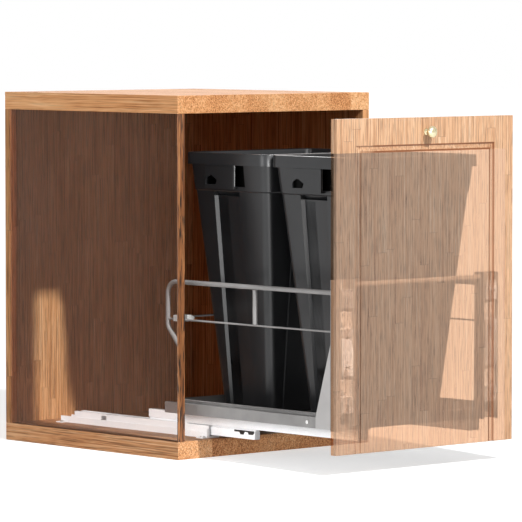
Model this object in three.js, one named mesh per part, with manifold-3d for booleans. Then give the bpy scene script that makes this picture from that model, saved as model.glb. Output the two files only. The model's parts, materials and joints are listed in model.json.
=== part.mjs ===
// Pull-out trash cabinet: a wooden base cabinet with a floor-mounted carriage that carries two bins
// and the door. Millimetres, +Z up. The origin is the centre of the cabinet's underside, the door
// faces -Y, and the carriage stands drawn out by REST_EXTENSION.
import * as THREE from "three";
import { mergeVertices } from "three/addons/utils/BufferGeometryUtils.js";
import Module from "manifold-3d";

const wasm = await Module();
wasm.setup();

// ---------------------------------------------------------------- driving dimensions

// Cabinet box
const CABINET_WIDTH = 550;
const CABINET_DEPTH = 575;
const CABINET_HEIGHT = 762;
const SIDE_THICKNESS = 19;
const SLAB_THICKNESS = 38; // the thick top and bottom
const BACK_THICKNESS = 16;
const EDGE_STRIP_DEPTH = 3;

// Door
const DOOR_THICKNESS = 16;
const DOOR_SIDE_GAP = 4;
const DOOR_TOP_GAP = 3;
const DOOR_BOTTOM_GAP = 5;
const MOULDING_INSET = 55; // door edge to the routed moulding
const MOULDING_STEP = 6; // flat floor of the moulding
const MOULDING_SLOPE = 8; // width of its slope
const MOULDING_DEPTH = 3.5;
const KNOB_DIAMETER = 25;
const KNOB_PROJECTION = 25;
const KNOB_FOOT_DIAMETER = 15;
const KNOB_NECK_DIAMETER = 9;
const KNOB_DROP = 30; // door top to the knob's axis
const KNOB_SCREW_DIAMETER = 4;
const KNOB_SCREW_REACH = 9; // how far the screw goes into the knob
const KNOB_SCREW_HEAD = 8;

// Carriage: a sheet-metal base on two slides
const REST_EXTENSION = 458; // door front to cabinet front in the rest pose
const REAR_CLEARANCE = 3; // closed carriage to back panel
const CARRIAGE_INSET = 25; // door edge to the carriage's outer face
const SHEET = 2; // steel sheet of the carriage and the slides
const SEAT = 0.3; // gap between two pieces that bear on each other
const RAIL_HEIGHT = 23;
const RAIL_BOTTOM_FLANGE = 27;
const RAIL_TOP_FLANGE = 12;
const CROSS_RAIL_DEPTH = 22;
const GUSSET_FOOT = 44; // bracket's rear face to the foot of the gusset
const GUSSET_RISE = 150; // above the side rail
const PAN_GAP = 2; // pan wall to the rail's top flange
const PAN_LIP_RISE = 7.5; // pan lip above the side rail
const PAN_LIP_WIDTH = 4;

// Slides
const SLIDE_INSET = 67; // carriage's outer face to a slide's centre line
const SLIDE_WIDTH = 27.4;
const SLIDE_HEIGHT = 24.2; // of the cabinet member and of the drawer member
const SLIDE_LIP = 6; // inward lips that hold the middle member
const SLIDE_RUNNING_GAP = 1.8; // cabinet member's lips to drawer member's lips
const SLIDE_FRONT_SETBACK = 2; // closed door to the floor channel and the slide members
const FLOOR_CHANNEL_LENGTH = 488;
const FLOOR_CHANNEL_HEIGHT = 14;
const CABINET_MEMBER_LENGTH = 444;
const CABINET_MEMBER_WINDOW = 16; // length of the window in its outer wall
const WINDOW_FROM_REAR = 92;
const MIDDLE_MEMBER_LENGTH = 340;
const MIDDLE_MEMBER_REACH = 120; // how far it stands out of the cabinet in the rest pose
const MIDDLE_FLANGE_WIDTH = 15;
const MIDDLE_WEB_WIDTH = 8;
const BALL_DIAMETER = 3.6;
const BALL_CLEARANCE = 0.3;
const BALLS_PER_SIDE = 3;
const CAGE_LENGTH = 120;
const CAGE_SHEET = 1;
const CAGE_CLEARANCE = 0.5;
const FOOT_EAR = 14; // screw ear that stands out beside the floor channel
const FOOT_LENGTH = 22;
const FOOT_TAB_HEIGHT = 20;
const SCREW_DIAMETER = 4;
const SCREW_HEAD_DIAMETER = 8;
const SCREW_HEAD_HEIGHT = 2.4;
const SCREW_CLEARANCE = 0.4; // all round a screw's shank in its hole
const FLOOR_SCREW_LENGTH = 16;

// Side loops and wires
const TUBE_DIAMETER = 10;
const LOOP_HEIGHT = 260; // above the side rail
const LOOP_OFFSET = 40; // the loop's foot stands this far in front of its rear leg
const LOOP_NECK_LOW = 116; // the S-bend, above the side rail
const LOOP_NECK_HIGH = 160;
const LOOP_CORNER_RADIUS = 26;
const NECK_RADIUS = 22;
const WIRE_DIAMETER = 4;
const WIRE_HEIGHT = 176; // above the side rail
const STRUT_FROM_DOOR = 261;
const CLIP_LENGTH = 24;
const CLIP_HEIGHT = 13;
const CLIP_REACH = 40; // from the carriage's outer face inward
const CLIP_CHAMFER = 9;
const WIRE_TO_BIN = 4; // rear wire to the rear bin's wall

// Door brackets
const BRACKET_WIDTH = 43;
const BRACKET_DEPTH = 28;
const BRACKET_HEIGHT = 307;
const BRACKET_DROP = 2.8; // bracket foot below the side rail
const ADJUSTER_STRIP = 2; // sheet of the adjuster plate
const PAD_DEPTH = 8; // its pads stand this far off the strip
const PAD_FOOT = 37; // bracket foot to the lowest pad
const PAD_LOWER = 33; // heights of the three pads
const PAD_MIDDLE = 96;
const PAD_UPPER = 39;
const PAD_SPACING = 42; // the free strip between two pads
const PAD_SIDE = 3; // bracket wall to pad
const TONGUE_WIDTH = 4;
const TONGUE_HEIGHT = 16;
const PAD_SLOT_LENGTH = 11;
const PAD_SLOT_HEIGHT = 4;
const PAD_SLOT_FROM_END = 18;
const SPARE_HOLE_RISE = 10; // round hole above the lower slot
const CAM_WIDTH = 17;
const CAM_HEIGHT = 30;
const CAM_BASE = 3;
const CAM_HEAD_DIAMETER = 12;
const CAM_PIN_DIAMETER = 7;
const CAM_RISE = 2.4;
const CAM_SLOT = 1.6;
const ACCESS_HOLE = 14; // in the bracket, behind each door screw
const DOOR_SCREW_GRIP = 11; // length in the door
const CROSSBAR_DIAMETER = 12;
const CROSSBAR_DROP = 11; // bracket top to the bar's axis
const FRAME_SCREW_SETBACK = 67; // bracket's rear face to the screw in the side rail
const FRAME_SCREW_LENGTH = 9;

// Bins
const BIN_FRONT_GAP = 4; // door to the front bin's rim
const BIN_MIDDLE_GAP = 6; // between the two rims
const BIN_REAR_GAP = 6; // rear bin's rim to the carriage's rear end
const BIN_SIDE_GAP = 36; // rim to the side loop
const BIN_HEADROOM = 83; // rim to the cabinet's top panel
const BIN_WALL = 3;
const BIN_RIM_OVERHANG = 8;
const BIN_RIM_HEIGHT = 25;
const BIN_COLLAR_HEIGHT = 56; // under the rim
const BIN_COLLAR_STEP = 2.5;
const BIN_TAPER_X = 56; // how far each side wall leans in
const BIN_TAPER_Y = 46; // how far the front and rear walls lean in
const BIN_CORNER_RADIUS = 26;
const BIN_RIM_ROUNDING = 2;
const PANEL_HALF_WIDTH = 87; // raised panel on a bin's front and rear wall
const PANEL_RISE = 3;
const FLUTE_LENGTH = 80; // upright recess under each handle
const FLUTE_SHIFT = 10; // rearwards from the bin's middle
const FLUTE_DEPTH_TOP = 11;
const FLUTE_DEPTH_FOOT = 7;
const FLUTE_SLOT_HEIGHT = 9; // the deeper slot at its top
const FLUTE_SLOT_DEPTH = 17;
const HANDLE_LENGTH = 90;
const HANDLE_SHIFT = 18; // rearwards from the bin's middle
const HANDLE_HEIGHT = 50;
const HANDLE_SETBACK = 1.5; // inside the rim's outer face
const HANDLE_WALL = 3;
const HANDLE_LEDGE = 5; // joins the handle to the collar at its foot
const FINGER_SPACE = 13; // behind the handle
const FINGER_SPACE_LENGTH = 120;
const FINGER_SPACE_SHIFT = 9;
const HANDLE_HOLE_WIDTH = 34;
const HANDLE_HOLE_HEIGHT = 19;
const HANDLE_HOLE_INSET = 4; // from the handle's rear end and from its ledge

// ---------------------------------------------------------------- derived places

const FRONT = -CABINET_DEPTH / 2; // plane of the cabinet's front edges
const BACK = CABINET_DEPTH / 2;
const HALF_WIDTH = CABINET_WIDTH / 2;
const INNER_HALF = HALF_WIDTH - SIDE_THICKNESS;
const FLOOR = SLAB_THICKNESS;
const CEILING = CABINET_HEIGHT - SLAB_THICKNESS;
const INNER_BACK = BACK - BACK_THICKNESS;

const DOOR_HALF = INNER_HALF - DOOR_SIDE_GAP;
const DOOR_TOP = CEILING - DOOR_TOP_GAP;
const DOOR_BOTTOM = FLOOR + DOOR_BOTTOM_GAP;
const DOOR_FRONT = FRONT - REST_EXTENSION;
const DOOR_BACK = DOOR_FRONT + DOOR_THICKNESS;

const CARRIAGE_LENGTH = CABINET_DEPTH - BACK_THICKNESS - DOOR_THICKNESS - REAR_CLEARANCE;
const CARRIAGE_HALF = DOOR_HALF - CARRIAGE_INSET;
const CARRIAGE_REAR = DOOR_BACK + CARRIAGE_LENGTH;
const SLIDE_CENTRE = CARRIAGE_HALF - SLIDE_INSET;

const CABINET_MEMBER_BASE = FLOOR + SHEET + SEAT;
const CABINET_MEMBER_TOP = CABINET_MEMBER_BASE + SLIDE_HEIGHT;
const DRAWER_MEMBER_BASE = CABINET_MEMBER_TOP + SLIDE_RUNNING_GAP;
const DRAWER_MEMBER_TOP = DRAWER_MEMBER_BASE + SLIDE_HEIGHT;
const RAIL_BASE = DRAWER_MEMBER_TOP + SEAT;
const RAIL_TOP = RAIL_BASE + RAIL_HEIGHT;
const PAN_FLOOR = RAIL_BASE + SHEET + SEAT;
const SLIDE_FRONT = FRONT + DOOR_THICKNESS + SLIDE_FRONT_SETBACK;

const BRACKET_BASE = RAIL_BASE - BRACKET_DROP;
const BRACKET_TOP = BRACKET_BASE + BRACKET_HEIGHT;
const BRACKET_REAR = DOOR_BACK + BRACKET_DEPTH;
const BRACKET_INNER = CARRIAGE_HALF - BRACKET_WIDTH;
const STRIP_FRONT = DOOR_BACK + PAD_DEPTH;
const PAD_ROWS = [
  [BRACKET_BASE + PAD_FOOT, PAD_LOWER],
  [BRACKET_BASE + PAD_FOOT + PAD_LOWER + PAD_SPACING, PAD_MIDDLE],
  [BRACKET_BASE + PAD_FOOT + PAD_LOWER + PAD_MIDDLE + 2 * PAD_SPACING, PAD_UPPER],
].map(([base, height]) => ({ base, top: base + height, middle: base + height / 2 }));
const BRACKET_MIDDLE = CARRIAGE_HALF - BRACKET_WIDTH / 2; // centre line of a bracket
const DOOR_SCREW_ROWS = [PAD_ROWS[0].middle, PAD_ROWS[2].middle];

const TUBE_RADIUS = TUBE_DIAMETER / 2;
const WIRE_RADIUS = WIRE_DIAMETER / 2;
const LOOP_X = CARRIAGE_HALF - TUBE_RADIUS; // centre plane of a side loop
const LOOP_TOP = RAIL_TOP + LOOP_HEIGHT - TUBE_RADIUS;
const LOOP_REAR = CARRIAGE_REAR - TUBE_RADIUS;
const WIRE_Z = RAIL_TOP + WIRE_HEIGHT;

const BIN_HALF_X = CARRIAGE_HALF - TUBE_DIAMETER - BIN_SIDE_GAP;
const BIN_LENGTH = (CARRIAGE_LENGTH - BIN_FRONT_GAP - BIN_MIDDLE_GAP - BIN_REAR_GAP) / 2;
const BIN_HALF_Y = BIN_LENGTH / 2;
const BIN_BASE = PAN_FLOOR + SHEET + SEAT;
const BIN_TOP = CEILING - BIN_HEADROOM;
const BIN_HEIGHT = BIN_TOP - BIN_BASE;
const FRONT_BIN_Y = DOOR_BACK + BIN_FRONT_GAP + BIN_HALF_Y;
const REAR_BIN_Y = FRONT_BIN_Y + BIN_LENGTH + BIN_MIDDLE_GAP;

// Where a bin's outer wall stands at a height: half width, half length and corner radius.
function binWall(z) {
  const lean = (BIN_TOP - z) / BIN_HEIGHT;
  return {
    halfX: BIN_HALF_X - BIN_RIM_OVERHANG - BIN_TAPER_X * lean,
    halfY: BIN_HALF_Y - BIN_RIM_OVERHANG - BIN_TAPER_Y * lean,
    radius: BIN_CORNER_RADIUS - BIN_RIM_OVERHANG,
  };
}
const REAR_WIRE_Y = REAR_BIN_Y + binWall(WIRE_Z).halfY + WIRE_TO_BIN + WIRE_RADIUS;

// ---------------------------------------------------------------- materials

const finish = (color, roughness, metalness, opacity = 1) =>
  new THREE.MeshStandardMaterial({ color, roughness, metalness, opacity, transparent: opacity < 1 });
const WOOD = finish(0xc98a5c, 0.55, 0);
const DOOR_WOOD = finish(0xe6b98e, 0.5, 0, 0.85);
const CLEAR_PANEL = finish(0xe8ddd6, 0.1, 0, 0.2);
const GREY_STEEL = finish(0xa9a7a6, 0.4, 0.6);
const WHITE_STEEL = finish(0xeceef0, 0.35, 0.3);
const ZINC = finish(0xc9c9c6, 0.3, 0.9);
const BRASS = finish(0xe6dcb4, 0.25, 0.9);
const BLACK_PLASTIC = finish(0x2b2b2c, 0.5, 0);
const WHITE_PLASTIC = finish(0xf2f1ee, 0.4, 0);

// ---------------------------------------------------------------- shape helpers

const ROUND = 20; // sides of a round piece
const SMALL_ROUND = 12;

function box(x0, x1, y0, y1, z0, z1) {
  return new THREE.BoxGeometry(Math.abs(x1 - x0), Math.abs(y1 - y0), Math.abs(z1 - z0)).translate(
    (x0 + x1) / 2,
    (y0 + y1) / 2,
    (z0 + z1) / 2,
  );
}

const TURN = {
  x: new THREE.Matrix4().makeRotationZ(Math.PI / 2),
  y: new THREE.Matrix4(),
  z: new THREE.Matrix4().makeRotationX(Math.PI / 2),
};

// A cylinder along one axis, from its centre point.
function rod(axis, diameter, length, x, y, z, sides = SMALL_ROUND) {
  const radius = diameter / 2;
  return new THREE.CylinderGeometry(radius, radius, length, sides)
    .applyMatrix4(TURN[axis])
    .translate(x, y, z);
}

const shapeOf = (points) => new THREE.Shape(points.map(([a, b]) => new THREE.Vector2(a, b)));
const extruded = (points, depth) =>
  new THREE.ExtrudeGeometry(shapeOf(points), { depth, bevelEnabled: false });

// An outline in X and Z, drawn out along Y.
const alongY = (points, y0, y1) =>
  extruded(points, y1 - y0).rotateX(Math.PI / 2).translate(0, y1, 0);

// An outline in Y and Z, drawn out along X.
const YZ_TO_WORLD = new THREE.Matrix4().makeBasis(
  new THREE.Vector3(0, 1, 0),
  new THREE.Vector3(0, 0, 1),
  new THREE.Vector3(1, 0, 0),
);
const alongX = (points, x0, x1) =>
  extruded(points, Math.abs(x1 - x0)).applyMatrix4(YZ_TO_WORLD).translate(Math.min(x0, x1), 0, 0);

const mirrored = (points, side) => points.map(([x, z]) => [x * side, z]);

// A path through given points, stepped from one point to the next.
class BentPath extends THREE.Curve {
  constructor(points) {
    super();
    this.points = points;
  }
  getPoint(t, target = new THREE.Vector3()) {
    return target.copy(this.points[Math.round(t * (this.points.length - 1))]);
  }
  getPointAt(u, target) {
    return this.getPoint(u, target);
  }
  getTangentAt(u, target = new THREE.Vector3()) {
    const last = this.points.length - 1;
    const at = Math.round(u * last);
    const from = this.points[Math.max(at - 1, 0)];
    const to = this.points[Math.min(at + 1, last)];
    return target.subVectors(to, from).normalize();
  }
}

// The points of a bent tube: its corners are rounded to their own radius.
function bent(corners, stepsPerBend = 6) {
  const points = [corners[0].at];
  for (let i = 1; i < corners.length - 1; i++) {
    const { at, radius } = corners[i];
    const back = corners[i - 1].at.clone().sub(at).normalize();
    const ahead = corners[i + 1].at.clone().sub(at).normalize();
    const half = back.angleTo(ahead) / 2;
    const reach = radius / Math.tan(half);
    const centre = back.clone().add(ahead).normalize().multiplyScalar(radius / Math.sin(half)).add(at);
    const start = at.clone().addScaledVector(back, reach).sub(centre);
    const end = at.clone().addScaledVector(ahead, reach).sub(centre);
    const sweep = start.angleTo(end);
    const axis = start.clone().cross(end).normalize();
    for (let k = 0; k <= stepsPerBend; k++)
      points.push(start.clone().applyAxisAngle(axis, (sweep * k) / stepsPerBend).add(centre));
  }
  points.push(corners[corners.length - 1].at);
  return points;
}

function tube(points, diameter, sides = SMALL_ROUND) {
  const circle = new THREE.EllipseCurve(0, 0, diameter / 2, diameter / 2);
  const section = new THREE.Shape(circle.getPoints(sides).slice(0, sides));
  return new THREE.ExtrudeGeometry(section, {
    extrudePath: new BentPath(points),
    steps: points.length - 1,
    bevelEnabled: false,
  });
}

// A closed loft through level rounded rectangles, from the lowest to the highest.
const CORNER_STEPS = 6;
function loft(rings) {
  const outline = ({ halfX, halfY, radius, z }) =>
    [0, 1, 2, 3].flatMap((quarter) => {
      const signX = quarter === 0 || quarter === 3 ? 1 : -1;
      const signY = quarter < 2 ? 1 : -1;
      return Array.from({ length: CORNER_STEPS + 1 }, (_, k) => {
        const angle = ((quarter + k / CORNER_STEPS) * Math.PI) / 2;
        return [
          signX * (halfX - radius) + radius * Math.cos(angle),
          signY * (halfY - radius) + radius * Math.sin(angle),
          z,
        ];
      });
    });
  const rows = rings.map(outline);
  const count = rows[0].length;
  const last = rows.length - 1;
  const positions = [...rows.flat(), [0, 0, rings[0].z], [0, 0, rings[last].z]].flat();
  const index = [];
  for (let i = 0; i < count; i++) {
    const next = (i + 1) % count;
    for (let row = 0; row < last; row++) {
      const a = row * count;
      const b = a + count;
      index.push(a + i, a + next, b + next, a + i, b + next, b + i);
    }
    const bottom = rows.length * count;
    index.push(bottom, next, i, bottom + 1, last * count + i, last * count + next);
  }
  const geometry = new THREE.BufferGeometry();
  geometry.setAttribute("position", new THREE.Float32BufferAttribute(positions, 3));
  return geometry.setIndex(index);
}

// ---------------------------------------------------------------- joining and cutting

function solid(geometry) {
  const bare = geometry.clone();
  bare.deleteAttribute("normal");
  bare.deleteAttribute("uv");
  const merged = mergeVertices(bare, 1e-4);
  return new wasm.Manifold(
    new wasm.Mesh({
      numProp: 3,
      vertProperties: merged.attributes.position.array,
      triVerts: new Uint32Array(merged.index.array),
    }),
  );
}

function geometryOf(body) {
  const { vertProperties, triVerts } = body.getMesh();
  const geometry = new THREE.BufferGeometry();
  geometry.setAttribute("position", new THREE.Float32BufferAttribute(vertProperties, 3));
  geometry.setIndex(Array.from(triVerts));
  const flat = geometry.toNonIndexed();
  flat.computeVertexNormals();
  return flat;
}

const join = (...pieces) => pieces.map(solid).reduce((sum, piece) => sum.add(piece));
const cut = (body, ...tools) => tools.map(solid).reduce((rest, tool) => rest.subtract(tool), body);

const cabinet = new THREE.Group();
function add(name, geometry, material) {
  const mesh = new THREE.Mesh(geometry.isBufferGeometry ? geometry : geometryOf(geometry), material);
  mesh.name = name;
  cabinet.add(mesh);
}

const SIDES = [
  ["left", -1],
  ["right", 1],
];

// ---------------------------------------------------------------- cabinet box

function cabinetBox() {
  const innerTop = CEILING;
  add("bottom_panel", floorPanel(), WOOD);
  add("top_panel", box(-HALF_WIDTH, HALF_WIDTH, FRONT, BACK, innerTop, CABINET_HEIGHT), WOOD);
  add("back_panel", box(-HALF_WIDTH, HALF_WIDTH, INNER_BACK, BACK, FLOOR, innerTop), WOOD);
  add("right_side_panel", box(INNER_HALF, HALF_WIDTH, FRONT, INNER_BACK, FLOOR, innerTop), WOOD);
  const stripBack = FRONT + EDGE_STRIP_DEPTH;
  add("left_front_edge_strip", box(-HALF_WIDTH, -INNER_HALF, FRONT, stripBack, FLOOR, innerTop), WOOD);
  const clear = box(-HALF_WIDTH, -INNER_HALF, stripBack, INNER_BACK, FLOOR, innerTop);
  add("left_side_panel", clear, CLEAR_PANEL);
}

// The thick bottom, drilled for the screws of the floor channels.
function floorPanel() {
  const slab = solid(box(-HALF_WIDTH, HALF_WIDTH, FRONT, BACK, 0, FLOOR));
  const pilot = SCREW_DIAMETER + 2 * SCREW_CLEARANCE;
  const depth = FLOOR_SCREW_LENGTH + SEAT;
  const holes = SIDES.flatMap(([, side]) =>
    floorScrewRows().map((y) => rod("z", pilot, depth, side * FLOOR_SCREW_X, y, FLOOR - depth / 2)),
  );
  return cut(slab, ...holes);
}

// ---------------------------------------------------------------- slides

const CHANNEL_HALF = SLIDE_WIDTH / 2 + SEAT + SHEET;
const FLOOR_SCREW_X = SLIDE_CENTRE + CHANNEL_HALF + FOOT_EAR / 2;
const CHANNEL_REAR = SLIDE_FRONT + FLOOR_CHANNEL_LENGTH;
function floorScrewRows() {
  return [SLIDE_FRONT + FOOT_LENGTH / 2, CHANNEL_REAR - FOOT_LENGTH / 2];
}

// Folded channel screwed to the floor, with an ear at each end and an upright tab in front.
function floorChannel(side) {
  const base = FLOOR;
  const outer = SLIDE_CENTRE + CHANNEL_HALF;
  const inner = SLIDE_CENTRE - CHANNEL_HALF;
  const top = base + FLOOR_CHANNEL_HEIGHT;
  const section = [
    [inner, base],
    [outer, base],
    [outer, top],
    [outer - SHEET, top],
    [outer - SHEET, base + SHEET],
    [inner + SHEET, base + SHEET],
    [inner + SHEET, top],
    [inner, top],
  ];
  const channel = alongY(mirrored(section, side), SLIDE_FRONT, CHANNEL_REAR);
  const ears = floorScrewRows().map((y) => {
    const half = FOOT_LENGTH / 2;
    return box(side * (outer - SHEET / 2), side * (outer + FOOT_EAR), y - half, y + half, base, base + SHEET);
  });
  const tab = box(
    side * (outer - SHEET),
    side * (outer + SHEET),
    SLIDE_FRONT,
    SLIDE_FRONT + SHEET,
    base,
    base + FOOT_TAB_HEIGHT,
  );
  const hole = SCREW_DIAMETER + 2 * SCREW_CLEARANCE;
  const holes = floorScrewRows().map((y) => rod("z", hole, 4 * SHEET, side * FLOOR_SCREW_X, y, base + SHEET));
  return cut(join(channel, ...ears, tab), ...holes);
}

function floorScrew(side, y) {
  const seat = FLOOR + SHEET + SEAT;
  const shank = FLOOR_SCREW_LENGTH + SHEET;
  return join(
    rod("z", SCREW_DIAMETER, shank, side * FLOOR_SCREW_X, y, seat - shank / 2 + SHEET / 2),
    rod("z", SCREW_HEAD_DIAMETER, SCREW_HEAD_HEIGHT, side * FLOOR_SCREW_X, y, seat + SCREW_HEAD_HEIGHT / 2),
  );
}

// A lipped channel: three walls and two inward lips, open upwards from `base`, or hung from `top`.
function lippedSection(base, top) {
  const back = base;
  const inward = Math.sign(top - base) * SHEET;
  const wall = SLIDE_WIDTH / 2;
  const mouth = wall - SHEET - SLIDE_LIP;
  const half = [
    [wall, back],
    [wall, top],
    [mouth, top],
    [mouth, top - inward],
    [wall - SHEET, top - inward],
    [wall - SHEET, back + inward],
  ];
  const other = half.map(([x, z]) => [-x, z]).reverse();
  return [...half, ...other].map(([x, z]) => [x + SLIDE_CENTRE, z]);
}

function cabinetMember(side) {
  const rear = SLIDE_FRONT + CABINET_MEMBER_LENGTH;
  const section = lippedSection(CABINET_MEMBER_BASE, CABINET_MEMBER_TOP);
  const outer = SLIDE_CENTRE + SLIDE_WIDTH / 2;
  const windowRear = rear - WINDOW_FROM_REAR;
  const window = box(
    side * (outer - 2 * SHEET),
    side * (outer + SHEET),
    windowRear - CABINET_MEMBER_WINDOW,
    windowRear,
    FLOOR + FLOOR_CHANNEL_HEIGHT,
    CABINET_MEMBER_TOP - 2 * SHEET,
  );
  return cut(solid(alongY(mirrored(section, side), SLIDE_FRONT, rear)), window);
}

const DRAWER_MEMBER_FRONT = DOOR_BACK + SLIDE_FRONT_SETBACK;
const DRAWER_MEMBER_REAR = CARRIAGE_REAR - SLIDE_FRONT_SETBACK - SHEET;
function drawerMember(side) {
  const section = lippedSection(DRAWER_MEMBER_TOP, DRAWER_MEMBER_BASE);
  return alongY(mirrored(section, side), DRAWER_MEMBER_FRONT, DRAWER_MEMBER_REAR);
}

// The middle member is an I-beam: one flange runs in the cabinet member, the other in the drawer's.
const MIDDLE_FRONT = FRONT - MIDDLE_MEMBER_REACH;
const FLANGE_GAP = SHEET + CAGE_SHEET + 2 * CAGE_CLEARANCE; // channel back to flange
function middleMember(side) {
  const flange = MIDDLE_FLANGE_WIDTH / 2;
  const web = MIDDLE_WEB_WIDTH / 2;
  const low = CABINET_MEMBER_BASE + FLANGE_GAP;
  const lowTop = CABINET_MEMBER_TOP - SHEET - CAGE_CLEARANCE;
  const highBase = DRAWER_MEMBER_BASE + SHEET + CAGE_CLEARANCE;
  const high = DRAWER_MEMBER_TOP - FLANGE_GAP;
  const half = [
    [flange, low],
    [flange, lowTop],
    [web, lowTop],
    [web, highBase],
    [flange, highBase],
    [flange, high],
  ];
  const other = half.map(([x, z]) => [-x, z]).reverse();
  const section = [...half, ...other].map(([x, z]) => [x + SLIDE_CENTRE, z]);
  return alongY(mirrored(section, side), MIDDLE_FRONT, MIDDLE_FRONT + MIDDLE_MEMBER_LENGTH);
}

// A U-shaped ball cage with its bearing balls; `up` is 1 in the cabinet member, -1 in the drawer's.
function ballCage(side, back, up, middleY) {
  const wallInside = SLIDE_WIDTH / 2 - SHEET;
  const track = (wallInside + MIDDLE_FLANGE_WIDTH / 2) / 2;
  const sheet = CAGE_SHEET / 2;
  const floor = back + up * (SHEET + CAGE_CLEARANCE);
  const rim = back + up * (SLIDE_HEIGHT - SHEET - SLIDE_LIP);
  const half = [
    [track + sheet, floor],
    [track + sheet, rim],
    [track - sheet, rim],
    [track - sheet, floor + up * CAGE_SHEET],
  ];
  const other = half.map(([x, z]) => [-x, z]).reverse();
  const section = [...half, ...other].map(([x, z]) => [x + SLIDE_CENTRE, z]);
  const front = middleY - CAGE_LENGTH / 2;
  const cage = alongY(mirrored(section, side), front, front + CAGE_LENGTH);
  const pitch = CAGE_LENGTH / BALLS_PER_SIDE;
  const ballSpace = wallInside - MIDDLE_FLANGE_WIDTH / 2 - 2 * BALL_CLEARANCE;
  const radius = Math.min(BALL_DIAMETER, ballSpace) / 2;
  const balls = [-1, 1].flatMap((row) =>
    Array.from({ length: BALLS_PER_SIDE }, (_, k) =>
      new THREE.IcosahedronGeometry(radius, 1).translate(
        side * (SLIDE_CENTRE + row * track),
        front + pitch * (k + 0.5),
        back + (up * SLIDE_HEIGHT) / 2,
      ),
    ),
  );
  return join(cage, ...balls);
}

// Middle of a cage: centred where its two members overlap in the rest pose.
const LOWER_CAGE_Y = (SLIDE_FRONT + MIDDLE_FRONT + MIDDLE_MEMBER_LENGTH) / 2;
const UPPER_CAGE_Y = (MIDDLE_FRONT + DRAWER_MEMBER_REAR) / 2;

function slides() {
  for (const [name, side] of SIDES) {
    add(`floor_channel_${name}`, floorChannel(side), WHITE_STEEL);
    add(`cabinet_slide_member_${name}`, cabinetMember(side), WHITE_STEEL);
    add(`middle_slide_member_${name}`, middleMember(side), WHITE_STEEL);
    add(`drawer_slide_member_${name}`, drawerMember(side), WHITE_STEEL);
    add(`lower_ball_cage_${name}`, ballCage(side, CABINET_MEMBER_BASE, 1, LOWER_CAGE_Y), ZINC);
    add(`upper_ball_cage_${name}`, ballCage(side, DRAWER_MEMBER_TOP, -1, UPPER_CAGE_Y), ZINC);
    const [front, rear] = floorScrewRows();
    add(`floor_screw_front_${name}`, floorScrew(side, front), ZINC);
    add(`floor_screw_rear_${name}`, floorScrew(side, rear), ZINC);
  }
}

// ---------------------------------------------------------------- carriage base

const RAIL_FRONT = BRACKET_REAR + SEAT;
const FRAME_SCREW_Y = BRACKET_REAR + FRAME_SCREW_SETBACK;
const FRAME_SCREW_Z = RAIL_BASE + RAIL_HEIGHT / 2;

// Side rail folded to a C, with the gusset that braces the door bracket.
function sideRail(side) {
  const outer = CARRIAGE_HALF;
  const section = [
    [outer, RAIL_BASE],
    [outer, RAIL_TOP],
    [outer - RAIL_TOP_FLANGE, RAIL_TOP],
    [outer - RAIL_TOP_FLANGE, RAIL_TOP - SHEET],
    [outer - SHEET, RAIL_TOP - SHEET],
    [outer - SHEET, RAIL_BASE + SHEET],
    [outer - RAIL_BOTTOM_FLANGE, RAIL_BASE + SHEET],
    [outer - RAIL_BOTTOM_FLANGE, RAIL_BASE],
  ];
  const gusset = [
    [RAIL_FRONT, RAIL_BASE],
    [RAIL_FRONT + GUSSET_FOOT, RAIL_BASE],
    [RAIL_FRONT + GUSSET_FOOT, RAIL_TOP],
    [RAIL_FRONT, RAIL_TOP + GUSSET_RISE],
  ];
  const body = join(
    alongY(mirrored(section, side), RAIL_FRONT, CARRIAGE_REAR),
    alongX(gusset, side * (outer - SHEET), side * outer),
  );
  const hole = SCREW_DIAMETER + 2 * SCREW_CLEARANCE;
  return cut(body, rod("x", hole, 4 * SHEET, side * outer, FRAME_SCREW_Y, FRAME_SCREW_Z));
}

// Screw through the side rail into the angle welded to the pan.
function frameScrew(side) {
  const length = FRAME_SCREW_LENGTH;
  const outer = CARRIAGE_HALF + SEAT;
  return join(
    rod("x", SCREW_DIAMETER, length, side * (outer - length / 2 + SHEET / 2), FRAME_SCREW_Y, FRAME_SCREW_Z),
    rod(
      "x",
      SCREW_HEAD_DIAMETER,
      SCREW_HEAD_HEIGHT,
      side * (outer + SCREW_HEAD_HEIGHT / 2),
      FRAME_SCREW_Y,
      FRAME_SCREW_Z,
    ),
  );
}

// A cross rail folded to a hat: two walls and a top, open below, on the drawer members.
function crossRail(halfWidth, y0) {
  const y1 = y0 + CROSS_RAIL_DEPTH;
  const top = RAIL_TOP - SHEET - SEAT;
  const base = RAIL_BASE;
  const section = [
    [y0, base],
    [y0, top],
    [y1, top],
    [y1, base],
    [y1 - SHEET, base],
    [y1 - SHEET, top - SHEET],
    [y0 + SHEET, top - SHEET],
    [y0 + SHEET, base],
  ];
  return alongX(section, -halfWidth, halfWidth);
}

const FRONT_CROSS_Y = DOOR_BACK + SLIDE_FRONT_SETBACK + SHEET;
const REAR_CROSS_Y = CARRIAGE_REAR - SHEET - CROSS_RAIL_DEPTH;

// Pan that the bins stand in: floor, four walls and an outward lip.
function basePan() {
  const half = CARRIAGE_HALF - RAIL_TOP_FLANGE - PAN_GAP;
  const y0 = BRACKET_REAR + PAN_GAP;
  const y1 = REAR_CROSS_Y - PAN_GAP;
  const top = RAIL_TOP + PAN_LIP_RISE;
  const hull = solid(box(-half, half, y0, y1, PAN_FLOOR, top));
  const hollow = box(-half + SHEET, half - SHEET, y0 + SHEET, y1 - SHEET, PAN_FLOOR + SHEET, top + SHEET);
  const lip = solid(
    box(-half - PAN_LIP_WIDTH, half + PAN_LIP_WIDTH, y0, y1, top - SHEET, top),
  );
  return cut(hull.add(lip), hollow);
}

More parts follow.
